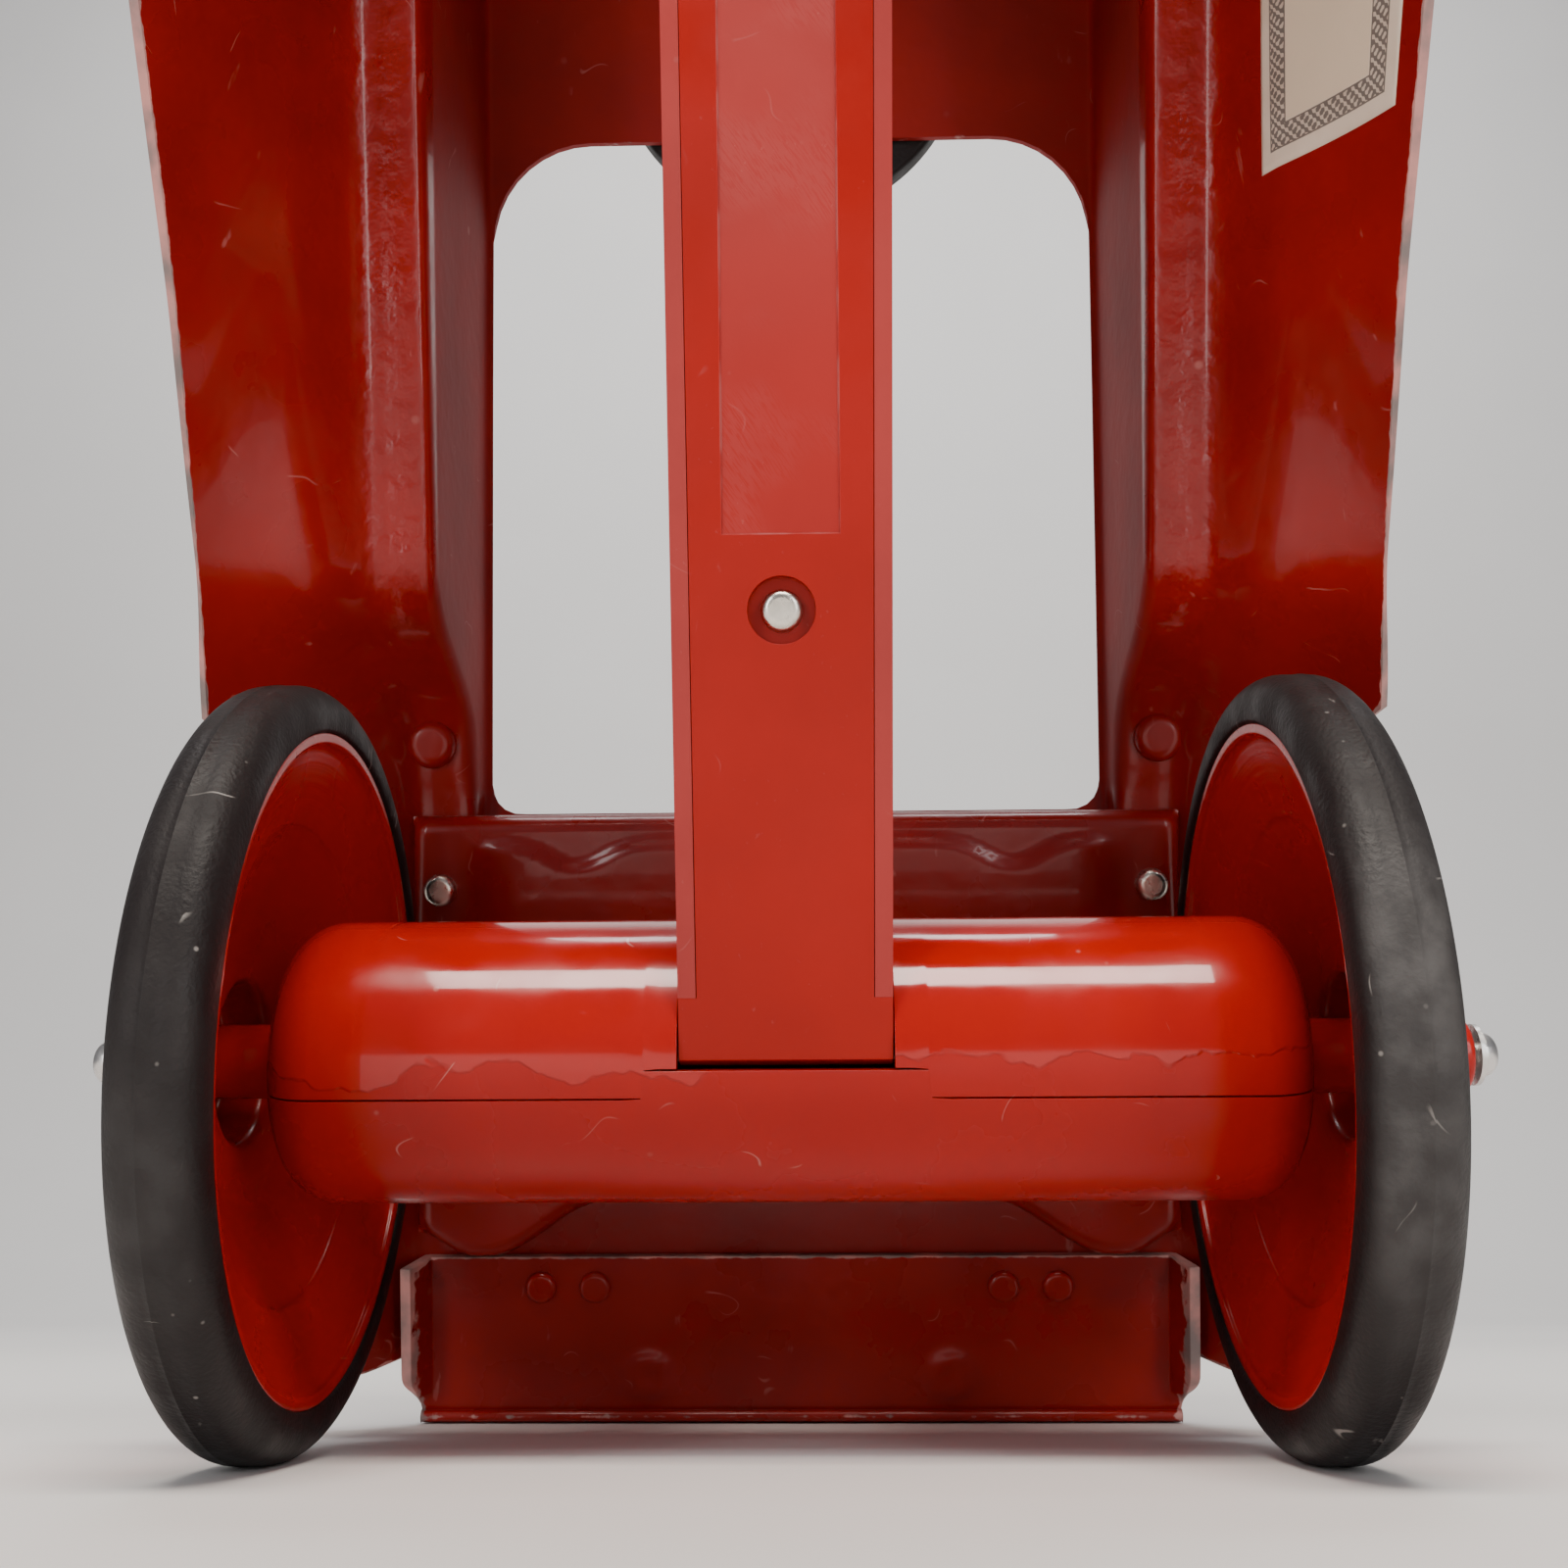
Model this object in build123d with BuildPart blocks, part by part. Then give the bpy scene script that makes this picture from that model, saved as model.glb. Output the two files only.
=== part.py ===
from build123d import *
import os
from math import acos, atan2, cos, hypot, sin

# A small hand truck: a pressed shell frame with a window, a toe plate, and a moulded spine and
# axle housing between two dished wheels. It is drawn as it leans when it stands on its wheels
# and toe plate. The model's origin is the middle of the toe plate's flat underside, +Z is up and
# +Y points ahead, to the load. Three families of planes follow the lean, centred on the axle:
# level(height) is square to the spine, facing(depth) is parallel to its face and seen from
# behind, and across(x) is square to the axle. Depths are positive towards the load.

# ---- Driving dimensions, in millimetres ----------------------------------------------------

wheel_radius = 50.0
tyre_width = 11.0
tyre_height = 6.25          # radial thickness of the rubber
tyre_shoulder = 4.0
tyre_inner_x = 60.5         # from the middle of the truck to the tyre's inner side

cross_plate_rise = 6.0      # height of the pressed cross plate over the apron
cross_plate_gap = 1.5       # room between the tyres' tread and the cross plate
apron_depth = wheel_radius + cross_plate_gap + cross_plate_rise     # rear of the flat apron
apron_sink = 0.3            # the apron's middle is pressed this much deeper
heel_lip = 3.0              # from the apron back to the corner under the toe plate
heel_depth = apron_depth - heel_lip
heel_drop = 70.0            # that corner's distance below the axle, square to the spine
toe_length = 62.0
toe_half_width = 63.0
toe_sheet = 2.0
toe_corner = 9.0
toe_hem = 1.6
heel_boss_x = 25.0          # two bosses pressed in the heel
heel_boss_height = -62.4
heel_boss_radius = 4.5
heel_boss_rise = 0.9

frame_sheet = 1.5
frame_top = 206.0           # height of the shell's closed top end above the axle
frame_foot = -58.5          # its lower cut edge
web_rise = 14.5             # from the apron to the web's rear face above the window
window_half_width = 51.8
window_low = 31.0
window_high = 148.0
window_corner = 17.0
window_low_corner = 5.0
inner_wall_x = 53.5
step_outer_x = 64.5
root_x = 66.0
wall_draft = 0.6            # how much the inner wall leans in over its height
root_drop = 6.0             # from the step's edge to where the wing starts
arch_gap = 3.0              # room between the tyre and the wheel arch cut in the wings

cross_plate_top = 31.0
cross_plate_low = -33.0
cross_plate_lobe = -42.0
cross_plate_half_width = 63.0
cross_plate_sheet = 2.0
cross_plate_round = 3.0

spine_face = -17.0          # depth of the spine's rear face
spine_deep = 20.0
spine_foot = 2.4
spine_half_foot = 13.1
spine_half_top = 14.7
spine_wall = 2.2
spine_end_wall = 3.0        # wall of the spine under the shell's closed top
cover_thickness = 3.0
cover_foot = 1.8
cover_step = 10.4           # the cover is as wide as the spine below this height
cover_screw_heights = (57.7, 146.0)
panel_half_width = 7.2      # shallow panel sunk in the cover
panel_foot = 67.0
panel_top = 135.0
panel_sunk = 0.3

housing_radius = 16.0
housing_half = 63.0
housing_wall = 2.5
housing_corner = 4.5
seam_height = -1.5
tongue_half = 17.5
tongue_height = 1.6

axle_radius = 2.0
axle_half = 91.2
boss_radius = 4.85
boss_inner_x = 66.3
boss_outer_x = 88.4
hub_wall = 1.8
hub_bush_radius = 3.0
hub_lip = 1.55              # radial width of the rim beside the dish
hub_cone_x = 65.4           # the dish's outer cone ends here
hub_cone_radius = 31.7
hub_shoulder = 0.8
rim_inset = 0.4             # of the hub's rim from the tyre's sides
hub_floor_x = 72.5          # the inner cone ends here
hub_floor_radius = 18.0
hub_pocket_x = 79.8         # floor of the pocket round the boss
hub_pocket_radius = 10.5
cap_radius = 2.9
cap_inner_x = 90.0
cap_outer_x = 92.4
washer_radius = 4.0
washer_thickness = 0.6
bush_radius = 4.0
bush_flange_radius = 6.0
bush_flange = 1.2
bush_length = 5.0           # in the housing's end wall and behind it

saddle_x = 32.0
saddle_width = 12.0
saddle_top = 9.0
saddle_low = -16.0
saddle_rear = 6.0           # the bracket's rear end, before the housing is cut from it
saddle_rear_low = -9.0
saddle_rear_high = 7.0
saddle_flange = 4.0         # thickness of the bracket's foot on the cross plate
screw_post_half = 4.0       # posts in the lower half of the housing, for the saddle screws
screw_post_deep = 5.0
screw_post_tall = 7.0

post_radius = 6.0
tube_wall = 1.0
post_depth = -6.5
post_foot = 162.0
bar_height = 322.0
bar_half = 72.0
tee_half = 19.0
tee_radius = 9.5
tee_foot = 298.0
tee_round = 1.5
grip_radius = 9.5
grip_half_gap = 20.0
grip_end_wall = 2.0
grip_end_round = 3.0

bumper_radius = 31.5
bumper_height = 168.0
bumper_thickness = 8.0
bumper_round = 3.0
bumper_rear_round = 1.0
bumper_recess = 3.0         # depth of the screw's hole in the pad
nut_thickness = 2.4
nut_radius = 3.2

screw_radius = 1.45
head_radius = 2.65
head_height = 1.9
recess_length = 3.8
recess_width = 0.95
recess_deep = 1.2
recess_turn = 17.0
counterbore_radius = 4.2
counterbore_deep = 2.1
cover_screw_length = 10.0
rivet_head_radius = 4.1
rivet_head_height = 2.4
rivet_radius = 2.0

running_fit = 0.05          # radial, between a turning bush and the axle
slide_gap = 0.10            # between parts that are pushed together by hand
touch_gap = 0.02            # between parts that seat on each other

# ---- The leaning frame of planes -----------------------------------------------------------

lean = acos(wheel_radius / hypot(heel_depth, heel_drop)) - atan2(heel_depth, heel_drop)
heel_reach = heel_depth * cos(lean) + heel_drop * sin(lean)     # along the floor from the axle
axle_centre = Vector(0, -heel_reach - toe_length / 2, wheel_radius)
ahead = Vector(0, cos(lean), sin(lean))
up = Vector(0, -sin(lean), cos(lean))
right = Vector(1, 0, 0)
axle_line = Axis(axle_centre, right)
up_line = Axis(axle_centre, up)
ahead_line = Axis(axle_centre, ahead)


def level(height):
    """The plane square to the spine at a height above the axle: X, then depth."""
    return Plane(axle_centre + up * height, x_dir=right, z_dir=up)


def facing(depth):
    """The plane parallel to the spine's face at a depth, seen from behind: X, then height."""
    return Plane(axle_centre + ahead * depth, x_dir=right, z_dir=-ahead)


def facing_back(depth):
    """The same plane as facing, seen from the load: its X runs to the left."""
    return Plane(axle_centre + ahead * depth, x_dir=-right, z_dir=ahead)


def across(x):
    """The plane square to the axle at a distance from the middle: depth, then height."""
    return Plane(axle_centre + right * x, x_dir=ahead, z_dir=right)


def along(low, high, share):
    """The value a share of the way from low to high."""
    return low + (high - low) * share


# ---- Operations that several pieces share --------------------------------------------------


def polygon(plane, points):
    """A face with straight edges, drawn on a plane."""
    with BuildSketch(plane) as sketch:
        with BuildLine():
            Polyline(*points, close=True)
        make_face()
    return sketch.sketch


def rods(plane, places, radius, amount, mode=Mode.ADD):
    """Round bars or, subtracted, round holes from a plane along its normal, one at each place."""
    with BuildSketch(plane) as rounds:
        with Locations(*places):
            Circle(radius)
    extrude(rounds.sketch, amount=amount, mode=mode)


def turned(points, mode=Mode.ADD):
    """A solid of revolution about the axle from points given as (x, radius)."""
    revolve(polygon(level(0), points), axis=axle_line, mode=mode)


def domed_heads(seat, places, radius, height, rounding):
    """Round heads that stand on a seat plane, with their outer edge rounded over."""
    rods(seat, places, radius, height)
    normal = Axis(seat.origin, seat.z_dir)
    rims = edges(Select.LAST).filter_by(GeomType.CIRCLE).group_by(normal)[-1]
    fillet(rims, rounding)


def pan_screws(seat, places, length):
    """Pan-head screws with a cross recess: heads on the seat plane, shanks behind it."""
    domed_heads(seat, places, head_radius, head_height, 0.6 * head_height)
    rods(seat, places, screw_radius, -length)
    with BuildSketch(seat.offset(head_height)) as crosses:
        with Locations(*places):
            Rectangle(recess_length, recess_width, rotation=recess_turn)
            Rectangle(recess_width, recess_length, rotation=recess_turn)
    extrude(crosses.sketch, amount=-recess_deep, mode=Mode.SUBTRACT)


def rivets(seat, places, grip):
    """Rivets with a domed head on the seat plane and a lower tail on the far side."""
    domed_heads(seat, places, rivet_head_radius, rivet_head_height, 0.8 * rivet_head_height)
    rods(seat, places, rivet_radius, -grip)
    tail = Plane(seat.origin - seat.z_dir * grip, x_dir=seat.x_dir, z_dir=seat.z_dir)
    rods(tail, places, 0.8 * rivet_head_radius, -0.4 * rivet_head_height)


# ---- Sizes that follow from the others -----------------------------------------------------

front = apron_depth + 30.0                              # well ahead of every sheet
web_top_depth = apron_depth + web_rise
spine_top = frame_top - frame_sheet - touch_gap
spine_front = spine_face + spine_deep
cover_front = spine_face + cover_thickness
cross_plate_rear = apron_depth - cross_plate_rise
heel_top = cross_plate_lobe - 0.5
socket_foot = post_foot - 4.0
socket_deep = spine_deep - spine_wall - cover_thickness
toe_rivet_radius = 1.6
toe_rivet_head = 2.6
cover_screw_places = [(0, height) for height in cover_screw_heights]
top_screw_places = [(-9.8, post_depth), (9.8, post_depth)]
post_screw_places = [(0, post_foot + 7.0), (0, spine_top - 18.0)]
saddle_screw_height = seam_height - 6.5
saddle_screw_places = [(-saddle_x, saddle_screw_height), (saddle_x, saddle_screw_height)]
saddle_screw_seat = apron_depth + apron_sink + frame_sheet
saddle_screw_tip = housing_radius - 9.0                 # depth at which they end in the housing
cross_screw_places = [(-57.9, 19.0), (57.9, 19.0)]
foot_rivet_places = [(-60.2, 43.0), (60.2, 43.0)]
toe_rivet_places = [(side * x, -47.5) for side in (-1, 1) for x in (33.8, 42.8)]
heel_boss_places = [(side * heel_boss_x, heel_boss_height) for side in (-1, 1)]
bumper_rear = web_top_depth + frame_sheet + slide_gap

# ---- Frame shell ---------------------------------------------------------------------------

# Each section of the shell gives, at a height: the depth of the web, the depth of the step
# beside it, and where the rim of the wing is, as (x, depth).
frame_sections = (
    (frame_foot, apron_depth + apron_sink, apron_depth, (74.0, 40.0)),
    (-40.0, apron_depth + apron_sink, apron_depth, (79.0, 34.0)),
    (23.0, apron_depth + apron_sink, apron_depth, (87.6, 33.0)),
    (window_low, apron_depth + 7.0, apron_depth, (87.3, 31.0)),
    (48.0, apron_depth + 8.0, apron_depth, (86.6, 25.5)),
    (64.0, apron_depth + 9.0, 31.0, (84.3, 17.5)),
    (102.0, apron_depth + 11.5, 28.5, (81.2, 1.5)),
    (135.0, apron_depth + 14.0, 27.0, (80.8, -10.0)),
    (170.0, web_top_depth, 26.0, (81.6, -18.0)),
    (frame_top, web_top_depth, 25.0, (83.0, -23.0)),
)


def half_section(web, step, rim):
    """The rear face of one side of a section, from the middle outwards, as (x, depth)."""
    return [
        (inner_wall_x - wall_draft, web),
        (inner_wall_x, step),
        (step_outer_x, step),
        (root_x, step - root_drop),
        rim,
    ]


def moved_line(line, sheet):
    """A line moved sideways by a distance, with its corners mitred."""
    moved = []
    for i, here in enumerate(line):
        before = line[max(i - 1, 0)]
        after = line[min(i + 1, len(line) - 1)]
        first = (Vector(*here) - Vector(*before)) if i > 0 else Vector(*after) - Vector(*here)
        last = (Vector(*after) - Vector(*here)) if i < len(line) - 1 else first
        normal_a = Vector(-first.Y, first.X).normalized()
        normal_b = Vector(-last.Y, last.X).normalized()
        mean = (normal_a + normal_b).normalized()
        moved.append(Vector(*here) + mean * (sheet / mean.dot(normal_a)))
    return moved


def rear_line(web, step, rim):
    """The rear face of a whole section, from rim to rim."""
    half = half_section(web, step, rim)
    return [(-x, depth) for x, depth in half[::-1]] + half


def frame_outline(web, step, rim):
    """The closed outline of one section of the sheet."""
    line = rear_line(web, step, rim)
    return [Vector(*point) for point in line] + moved_line(line, frame_sheet)[::-1]


def end_outline(web, step, rim):
    """The outline of the shell's closed end, which stops halfway through the sheet all round."""
    middle = moved_line(rear_line(web, step, rim), frame_sheet / 2)
    middle[0] += (middle[1] - middle[0]).normalized()
    middle[-1] += (middle[-2] - middle[-1]).normalized()
    return middle


with BuildPart() as frame_shell:
    loft([polygon(level(h), frame_outline(*rest)) for h, *rest in frame_sections], ruled=True)
    top_face = polygon(level(frame_top - frame_sheet), end_outline(*frame_sections[-1][1:]))
    extrude(top_face, amount=frame_sheet)
    with BuildSketch(facing(apron_depth + 40)):
        with Locations((0, (window_low + window_high) / 2)):
            Rectangle(2 * window_half_width, window_high - window_low)
        fillet(vertices().group_by(Axis.Y)[-1], window_corner)
        fillet(vertices().group_by(Axis.Y)[0], window_low_corner)
    extrude(amount=40, mode=Mode.SUBTRACT)
    for side in (-1, 1):
        rods(across(side * (tyre_inner_x - arch_gap)), [(0, 0)], wheel_radius + arch_gap,
             side * 50, Mode.SUBTRACT)
    rods(level(frame_top - 5), [(0, post_depth)], post_radius + 5 * slide_gap, 10, Mode.SUBTRACT)
    rods(level(frame_top - 5), top_screw_places, screw_radius + slide_gap, 10, Mode.SUBTRACT)
    rods(facing(front), [(0, bumper_height)], screw_radius + slide_gap, 20, Mode.SUBTRACT)
    rods(facing(front), saddle_screw_places, screw_radius + slide_gap, 35, Mode.SUBTRACT)
    rods(facing(front), cross_screw_places, screw_radius + slide_gap, 35, Mode.SUBTRACT)
    rods(facing(front), foot_rivet_places, rivet_radius, 35, Mode.SUBTRACT)
    rods(facing(front), toe_rivet_places, toe_rivet_radius, 35, Mode.SUBTRACT)
    frame_shell.part.label = "frame_shell"

with BuildPart() as frame_rivets:
    rivets(facing(apron_depth - 0.7), foot_rivet_places, frame_sheet + 1.2)
    frame_rivets.part.label = "frame_rivets"

# ---- Plates across the lower end -----------------------------------------------------------


def cross_plate_face():
    """The outline of the cross plate: straight above, with a lobe at each side below."""
    half = cross_plate_half_width
    with BuildSketch(facing(apron_depth)) as sketch:
        with BuildLine():
            top = Line((-half, cross_plate_top), (half, cross_plate_top))
            down = Line(top @ 1, (half, cross_plate_lobe + 5))
            lobe_right = (half - 9, cross_plate_lobe)
            flat_right = (half - 30, cross_plate_low)
            Spline(down @ 1, lobe_right, flat_right, tangents=((0, -1), (-1, 0)))
            Line(flat_right, (-flat_right[0], flat_right[1]))
            Spline((-flat_right[0], flat_right[1]), (-lobe_right[0], lobe_right[1]),
                   (-half, cross_plate_lobe + 5), tangents=((-1, 0), (0, 1)))
            Line((-half, cross_plate_lobe + 5), top @ 0)
        make_face()
    return sketch.sketch


with BuildPart() as cross_plate:
    extrude(cross_plate_face(), amount=cross_plate_rise)
    fillet(edges().group_by(ahead_line)[0], cross_plate_round)
    with BuildSketch(facing(apron_depth)):
        with Locations((0, (cross_plate_top + cross_plate_low) / 2)):
            Rectangle(2 * (cross_plate_half_width - cross_plate_round),
                      cross_plate_top - cross_plate_low - 2 * cross_plate_round)
    extrude(amount=cross_plate_rise - cross_plate_sheet, mode=Mode.SUBTRACT)
    rods(facing(front), saddle_screw_places, screw_radius + slide_gap, 60, Mode.SUBTRACT)
    rods(facing(front), cross_screw_places, screw_radius + slide_gap, 60, Mode.SUBTRACT)
    cross_plate.part.label = "cross_plate"

with BuildPart() as cross_plate_screws:
    pan_screws(facing(cross_plate_rear), cross_screw_places, cross_plate_rise + frame_sheet + 4)
    cross_plate_screws.part.label = "cross_plate_screws"

with BuildPart() as toe_plate:
    toe_tip = (heel_depth + toe_length * cos(lean), -heel_drop - toe_length * sin(lean))
    lift = Vector(sin(lean), cos(lean)) * toe_sheet
    heel_front = apron_depth - touch_gap
    heel_rear = heel_front - toe_sheet
    bend_height = -heel_drop + (heel_front - heel_depth) * -sin(lean) / cos(lean)
    with BuildSketch(across(-toe_half_width)):
        with BuildLine():
            Polyline(
                (heel_rear, heel_top),
                (heel_rear, toe_hem - heel_drop),
                (heel_depth, toe_hem - heel_drop),
                (heel_depth, -heel_drop),
                toe_tip,
                (toe_tip[0] + lift.X, toe_tip[1] + lift.Y),
                (heel_front, bend_height + toe_sheet / cos(lean)),
                (heel_front, heel_top),
                close=True,
            )
        make_face()
    extrude(amount=2 * toe_half_width)
    tip_edges = edges().filter_by(Axis(axle_centre, (0, 0, 1))).group_by(Axis.Y)[-1]
    fillet(tip_edges, toe_corner)
    rods(facing(front), toe_rivet_places, toe_rivet_radius, 35, Mode.SUBTRACT)
    domed_heads(facing(heel_rear), heel_boss_places, heel_boss_radius, heel_boss_rise,
                0.8 * heel_boss_rise)
    toe_plate.part.label = "toe_plate"

with BuildPart() as toe_plate_rivets:
    domed_heads(facing(heel_rear), toe_rivet_places, toe_rivet_head, 1.2, 0.9)
    rods(facing(heel_rear), toe_rivet_places, toe_rivet_radius, -(toe_sheet + frame_sheet + 1))
    rods(facing(heel_rear + toe_sheet + frame_sheet + 2.2), toe_rivet_places, toe_rivet_head, 1.2)
    toe_plate_rivets.part.label = "toe_plate_rivets"

# ---- Spine and its cover -------------------------------------------------------------------


def tapered(half_foot, half_top, foot, top, plane):
    """A face that widens evenly from its foot to its top."""
    return polygon(plane, [(-half_foot, foot), (half_foot, foot), (half_top, top), (-half_top, top)])


def spine_half(height):
    """Half the spine's width at a height."""
    share = (height - spine_foot) / (spine_top - spine_foot)
    return along(spine_half_foot, spine_half_top, share)


with BuildPart() as spine_channel:
    extrude(tapered(spine_half_foot, spine_half_top, spine_foot, spine_top,
                    facing(spine_front)), amount=spine_deep)
    inner_foot = cover_step
    inner_top = spine_top - spine_end_wall
    hollow = tapered(spine_half(inner_foot) - spine_wall, spine_half(inner_top) - spine_wall,
                     inner_foot, inner_top, facing(spine_front - spine_wall))
    extrude(hollow, amount=spine_deep, mode=Mode.SUBTRACT)
    cover_room = tapered(spine_half(spine_foot), spine_half(cover_step),
                         spine_foot, cover_step, facing(cover_front))
    extrude(cover_room, amount=cover_thickness, mode=Mode.SUBTRACT)
    with BuildSketch(facing(spine_front - spine_wall)):
        with Locations((0, (socket_foot + spine_top) / 2)):
            Rectangle(2 * (spine_half(socket_foot) - 1), spine_top - socket_foot)
    extrude(amount=socket_deep)
    rods(facing(spine_front - spine_wall), cover_screw_places, counterbore_radius, socket_deep)
    rods(facing(cover_front), cover_screw_places, screw_radius, -cover_screw_length,
         Mode.SUBTRACT)
    rods(level(spine_top), [(0, post_depth)], post_radius + slide_gap,
         post_foot - slide_gap - spine_top, Mode.SUBTRACT)
    rods(level(spine_top), top_screw_places, screw_radius, -12, Mode.SUBTRACT)
    rods(facing(spine_front), post_screw_places, screw_radius + slide_gap, 12, Mode.SUBTRACT)
    spine_channel.part.label = "spine_channel"

with BuildPart() as spine_cover:
    cover_face = tapered(spine_half(cover_step) - spine_wall - slide_gap,
                         spine_half(spine_top) - spine_wall - slide_gap,
                         cover_step, spine_top - spine_end_wall - slide_gap, facing(cover_front - touch_gap))
    extrude(cover_face, amount=cover_thickness - touch_gap)
    foot_face = tapered(spine_half_foot, spine_half(cover_step), cover_foot, cover_step,
                        facing(cover_front - touch_gap))
    extrude(foot_face, amount=cover_thickness - touch_gap)
    foot_edge = edges().group_by(up_line)[0].sort_by(ahead_line)[0]
    chamfer(foot_edge, 2.0, 1.0)
    with BuildSketch(facing(spine_face)):
        with Locations((0, (panel_foot + panel_top) / 2)):
            Rectangle(2 * panel_half_width, panel_top - panel_foot)
    extrude(amount=-panel_sunk, mode=Mode.SUBTRACT)
    rods(facing(spine_face), cover_screw_places, counterbore_radius, -counterbore_deep,
         Mode.SUBTRACT)
    rods(facing(spine_face), cover_screw_places, screw_radius + slide_gap, -5, Mode.SUBTRACT)
    spine_cover.part.label = "spine_cover"

with BuildPart() as cover_screws:
    pan_screws(facing(spine_face + counterbore_deep), cover_screw_places, cover_screw_length)
    cover_screws.part.label = "cover_screws"

with BuildPart() as spine_top_screws:
    pan_screws(level(frame_top), top_screw_places, cover_screw_length)
    spine_top_screws.part.label = "spine_top_screws"

# ---- Axle housing: a tube in two half shells -----------------------------------------------


def housing_tube():
    """The whole hollow housing, with its rounded ends, bush holes and room for the spine."""
    rods(across(-housing_half), [(0, 0)], housing_radius, 2 * housing_half)
    fillet(edges().filter_by(GeomType.CIRCLE), housing_corner)
    rods(across(-housing_half + housing_wall + 0.5), [(0, 0)], housing_radius - housing_wall,
         2 * (housing_half - housing_wall - 0.5), Mode.SUBTRACT)
    rods(across(-housing_half), [(0, 0)], bush_radius + touch_gap, 2 * housing_half, Mode.SUBTRACT)
    for x in (-saddle_x, saddle_x):
        with BuildSketch(across(x - screw_post_half)) as post:
            with Locations((saddle_screw_tip + 1.5, saddle_screw_height)):
                Rectangle(screw_post_deep, screw_post_tall)
        extrude(post.sketch, amount=2 * screw_post_half)


def seam_half(above):
    """What lies above, or below, the seam with its step beside the spine."""
    gap = touch_gap if above else -touch_gap
    reach = housing_radius + 5 if above else -housing_radius - 5
    low, high = seam_height + gap, tongue_height + gap
    return polygon(facing(30), [(-80, reach), (-80, low), (-tongue_half, low), (-tongue_half, high),
                                (tongue_half, high), (tongue_half, low), (80, low), (80, reach)])


with BuildPart() as housing_upper:
    housing_tube()
    extrude(seam_half(True), amount=60, mode=Mode.INTERSECT)
    with BuildSketch(facing(spine_front + slide_gap)):
        Rectangle(2 * (spine_half(housing_radius) + slide_gap), 60)
    extrude(amount=40, mode=Mode.SUBTRACT)
    housing_upper.part.label = "housing_upper"

with BuildPart() as housing_lower:
    housing_tube()
    extrude(seam_half(False), amount=60, mode=Mode.INTERSECT)
    with BuildSketch(facing(cover_front + slide_gap)):
        with Locations((0, cover_foot - slide_gap + 5)):
            Rectangle(2 * (spine_half(housing_radius) + slide_gap), 10)
    extrude(amount=10, mode=Mode.SUBTRACT)
    rods(facing(front), saddle_screw_places, screw_radius, front - saddle_screw_tip,
         Mode.SUBTRACT)
    housing_lower.part.label = "housing_lower"


def saddle(x):
    """A moulded bracket from the housing's front to the cross plate, at a distance x."""
    foot = cross_plate_rear - touch_gap
    waist = foot - 2 * saddle_flange
    outline = [(saddle_rear, saddle_rear_low), (saddle_rear, saddle_rear_high),
               (waist, saddle_top - 5), (foot - saddle_flange, saddle_top),
               (foot, saddle_top), (foot, saddle_low), (foot - saddle_flange, saddle_low),
               (waist, saddle_low + 4)]
    extrude(polygon(across(x - saddle_width / 2), outline), amount=saddle_width)
    rods(across(-housing_half), [(0, 0)], housing_radius + touch_gap, 2 * housing_half,
         Mode.SUBTRACT)
    rods(facing(front), saddle_screw_places, screw_radius + slide_gap, front, Mode.SUBTRACT)


with BuildPart() as axle_saddle_left:
    saddle(-saddle_x)
    axle_saddle_left.part.label = "axle_saddle_left"

with BuildPart() as axle_saddle_right:
    saddle(saddle_x)
    axle_saddle_right.part.label = "axle_saddle_right"

with BuildPart() as saddle_screws:
    pan_screws(facing_back(saddle_screw_seat), saddle_screw_places,
               saddle_screw_seat - saddle_screw_tip)
    saddle_screws.part.label = "saddle_screws"

# ---- Axle and wheels -----------------------------------------------------------------------

with BuildPart() as axle_rod:
    rods(across(-axle_half), [(0, 0)], axle_radius, 2 * axle_half)
    axle_rod.part.label = "axle_rod"

with BuildPart() as axle_caps:
    for side in (-1, 1):
        domed_heads(Plane(axle_centre + right * side * cap_inner_x, x_dir=ahead,
                          z_dir=right * side),
                    [(0, 0)], cap_radius, cap_outer_x - cap_inner_x, 1.8)
    rods(across(-axle_half - touch_gap), [(0, 0)], axle_radius, 2 * (axle_half + touch_gap),
         Mode.SUBTRACT)
    axle_caps.part.label = "axle_caps"

with BuildPart() as axle_washers:
    for side in (-1, 1):
        rods(across(side * (cap_inner_x - washer_thickness / 2 - touch_gap) - washer_thickness / 2),
             [(0, 0)], washer_radius, washer_thickness)
    rods(across(-axle_half), [(0, 0)], axle_radius + slide_gap, 2 * axle_half, Mode.SUBTRACT)
    axle_washers.part.label = "axle_washers"


def axle_bush(side):
    """A flanged bush in the end wall of the housing, which holds the axle."""
    start = side * (housing_half + bush_flange)
    turned([
        (start, axle_radius), (start, bush_flange_radius),
        (side * (housing_half + touch_gap), bush_flange_radius),
        (side * (housing_half + touch_gap), bush_radius),
        (side * (housing_half - bush_length), bush_radius),
        (side * (housing_half - bush_length), axle_radius),
    ])


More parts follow.
